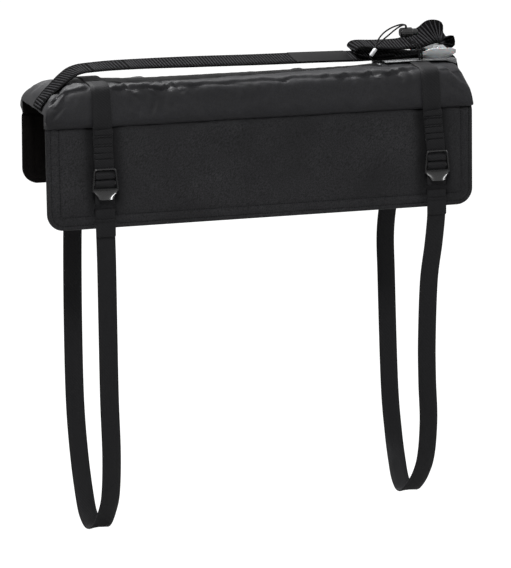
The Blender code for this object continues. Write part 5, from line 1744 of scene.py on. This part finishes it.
@dataclass
class Studio:
    """Camera, lamps, floor and world."""

    azimuth: float = math.radians(17.73)
    elevation: float = math.radians(13.22)
    distance: float = 4.78072
    focal_px: float = 3629.64
    frame_px: tuple[int, int] = (511, 568)
    aim: Vector = field(default_factory=lambda: Vector((0, 0, -0.15)))
    offset_px: tuple[float, float] = (-7.35, -76.07)
    floor_half: float = 30.0
    ambient: float = 0.1
    shine: float = 0.7

    # Name, place, aim, width in metres and power in watts
    LAMPS = (
        ("top lamp", (-0.45, 0.75, 1.65), (0, 0, 0), 0.6, 92),
        ("front lamp", (-0.9, -2.2, 2.4), (0, 0, -0.2), 0.9, 84),
        ("side lamp", (2.2, -1.4, 0.9), (0.1, 0, -0.2), 1.0, 14),
    )

    def camera(self) -> None:
        """Place the camera at the photograph's viewing angle."""
        a, e = self.azimuth, self.elevation
        back = Vector((-math.sin(a) * math.cos(e), -math.cos(a) * math.cos(e), math.sin(e)))
        right = Vector((math.cos(a), -math.sin(a), 0))
        up = back.cross(right)
        metres = self.distance / self.focal_px
        data = bpy.data.cameras.new("camera")
        data.sensor_width = 36.0
        data.lens = self.focal_px / max(self.frame_px) * 36.0
        made = new_object("camera", data)
        place = self.aim + back * self.distance
        made.location = place - right * (self.offset_px[0] * metres) + up * (self.offset_px[1] * metres)
        made.rotation_mode = "QUATERNION"
        made.rotation_quaternion = back.to_track_quat("Z", "Y")
        bpy.context.scene.camera = made

    def lamp(self, name: str, place: Row, aim: Row, size: float, power: float) -> None:
        """Add one soft lamp.

        Args:
            name: Its name.
            place: Where it stands.
            aim: What it points at.
            size: Its width.
            power: Its power in watts.
        """
        data = bpy.data.lights.new(name, "AREA")
        data.shape = "DISK"
        data.size = size
        data.energy = power
        made = new_object(name, data)
        made.location = place
        made.rotation_mode = "QUATERNION"
        made.rotation_quaternion = (Vector(aim) - Vector(place)).to_track_quat("-Z", "Y")

    def build(self, floor_z: float) -> None:
        """Set up the whole studio.

        Args:
            floor_z: The floor's height.
        """
        self.camera()
        for name, place, aim, size, power in self.LAMPS:
            self.lamp(name, place, aim, size, power)
        world = bpy.data.worlds.new("studio world")
        bpy.context.scene.world = world
        world.use_nodes = True
        tree = world.node_tree
        ray = add_node(tree, "ShaderNodeLightPath").outputs
        glossy = {0: ray["Is Glossy Ray"], 1: self.shine, 2: self.ambient}
        shiny = add_node(tree, "ShaderNodeMath", glossy, operation="MULTIPLY_ADD").outputs[0]
        seen = {0: ray["Is Camera Ray"], 1: shiny}
        strength = add_node(tree, "ShaderNodeMath", seen, operation="MAXIMUM").outputs[0]
        set_inputs(tree, tree.nodes["Background"], {"Strength": strength, "Color": (1, 1, 1, 1)})
        self.floor(floor_z)
        bpy.context.scene.view_settings.view_transform = "Standard"

    def floor(self, level: float) -> None:
        """Lay the pale floor.

        Args:
            level: Its height.
        """
        half = self.floor_half
        corners = np.array(
            [(-half, -half, level), (half, -half, level), (half, half, level), (-half, half, level)]
        )
        made, tree, shader = new_surface("matt_white_backdrop_paper")
        set_inputs(tree, shader, {"Base Color": hex_rgba("C8C8C8"), "Roughness": 0.9})
        seen = add_node(tree, "ShaderNodeLightPath").outputs["Is Camera Ray"]
        glow = add_node(tree, "ShaderNodeEmission", {"Color": (1, 1, 1, 1), "Strength": 1.2}).outputs[0]
        share = add_node(tree, "ShaderNodeMath", {0: seen, 1: 0.87}, operation="MULTIPLY").outputs[0]
        mix = add_node(tree, "ShaderNodeMixShader", {0: share, 1: shader.outputs[0], 2: glow}).outputs[0]
        tree.links.new(mix, tree.nodes["Material Output"].inputs["Surface"])
        make_object("backdrop_paper", corners, [(0, 1, 2, 3)], made)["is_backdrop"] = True


class Pad:
    """Builds and dresses the whole pad."""

    # How much further forward than in the CAD the felt under the buckle reaches
    felt_reach: float = 10 * MM
    strap_x: tuple[float, float] = (-217 * MM, 230 * MM)

    def __init__(self) -> None:
        """Set up the finishes and the sub-assemblies."""
        self.finishes = Finishes()
        self.ridge = Ridge()
        left, right = self.strap_x
        self.front = Flap("front", -1, 131 * MM, math.radians(2.6), strap_places=(left, right))
        self.back = Flap(
            "back", 1, 93.5 * MM, math.radians(0.9), strap_places=(left, right - 4 * MM), seed=14
        )
        self.stitches = StitchRow(self.finishes.thread)
        shared = (self.ridge, self.front, self.back)
        self.straps = (
            FasteningStrap("left", left, 1.5 * MM, 51 * MM, LEFT_HANGING, *shared),
            FasteningStrap("right", right, 6 * MM, 54 * MM, RIGHT_HANGING, *shared),
        )

    def soft_goods(self) -> None:
        """Make the ridge and the flaps with their stitching."""
        f = self.finishes
        ridge = self.ridge.build(f.ridge, f.lining)
        soft_nodes = ("ridge_cover", "ridge_foam", "front_shoulder_foam", "back_shoulder_foam")
        channel_nodes = ("channel_lining", "front_channel_side", "back_channel_side")
        settle(ridge, Body.PAD, "ripstop", *soft_nodes, *channel_nodes)
        for flap in (self.front, self.back):
            made = flap.build(f.canvas, f.lining)
            parts = [f"{flap.label}_flap_{part}" for part in ("panel", "foam", "lining")]
            settle(made, Body.PAD, "canvas", *parts)
            rows = self.stitches.lay(
                flap.label + "_flap_stitches", flap.stitch_lines(), 3.3 * MM, 2.3 * MM, 1.0 * MM
            )
            settle(rows, Body.PAD, "canvas")

    def webbing(self) -> None:
        """Make the fastening straps, their locks and keepers."""
        f = self.finishes
        lines: list[list[Vector]] = []
        for strap in self.straps:
            strap.build(f.webbing)
            lines += strap.stitch_lines()
            LadderLock(strap).build(f.acetal)
            softened(strap.label + "_keeper", f.keeper, 0.45 * MM, Body.PAD, "elastic")
        rows = self.stitches.lay("strap_stitches", lines, 2.3 * MM, 2.0 * MM, 0.65 * MM)
        settle(rows, Body.PAD, "webbing")

    def buckle(self) -> None:
        """Make the board strap with its buckle, guard and pad."""
        f = self.finishes
        BoardStrap(WebbingRibs(f.rib)).build(f.board)
        Guard().build(f.silicone)
        felt = softened("buckle_pad", f.felt, 1.0 * MM, Body.PAD, "felt")
        for vertex in felt.data.vertices:
            vertex.co.y -= self.felt_reach if vertex.co.y < 0 else 0
        for node, finish, width, body, slot in (
            ("buckle_frame", f.steel, 0.35, Body.PAD, "steel"),
            ("lever_pin", f.steel, 0.3, Body.PAD, "steel"),
            ("buckle_lever", f.zinc, 0.4, Body.LEVER, "zinc"),
            ("strap_label", f.satin, 0.1, Body.PAD, "label"),
        ):
            softened(node, finish, width * MM, body, slot)

    def cord(self) -> None:
        """Make the elastic cord with its lock and clip."""
        f = self.finishes
        barrel = softened("cord_lock_barrel", f.acetal, 0.5 * MM, Body.PAD, "acetal")
        plunger = softened("cord_lock_plunger", f.acetal, 0.5 * MM, Body.PLUNGER, "acetal")
        clip = softened("cord_clip", f.clip, 0.5 * MM, Body.PAD, "clip")
        softened("tether_eyelet", f.steel, 0.15 * MM, Body.PAD, "steel")
        spring = self.lock_spring()
        ElasticCord(f.elastic).build([barrel, plunger, spring, clip])
        for place in bpy.data.objects["lever_spring"].material_slots:
            place.material = f.steel

    def lock_spring(self) -> Any:
        """Copy the cord lock's spring with the steel finish and set it on the pad's body.

        Returns:
            The spring.
        """
        node = bpy.data.objects["cord_lock_spring"]
        made = new_object("cord_lock_coil", node.data.copy())
        made.data.materials.clear()
        made.data.materials.append(self.finishes.steel)
        settle(made, Body.PAD, "steel", "cord_lock_spring")
        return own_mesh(made)


def main() -> None:
    """Build the scene."""
    logging.basicConfig(level=logging.INFO, format="%(name)s: %(message)s")
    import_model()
    cad_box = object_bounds()
    pad = Pad()
    Studio().build(cad_box[0].z - 3 * MM)
    pad.cord()
    pad.soft_goods()
    pad.webbing()
    pad.buckle()


if __name__ == "__main__":
    main()
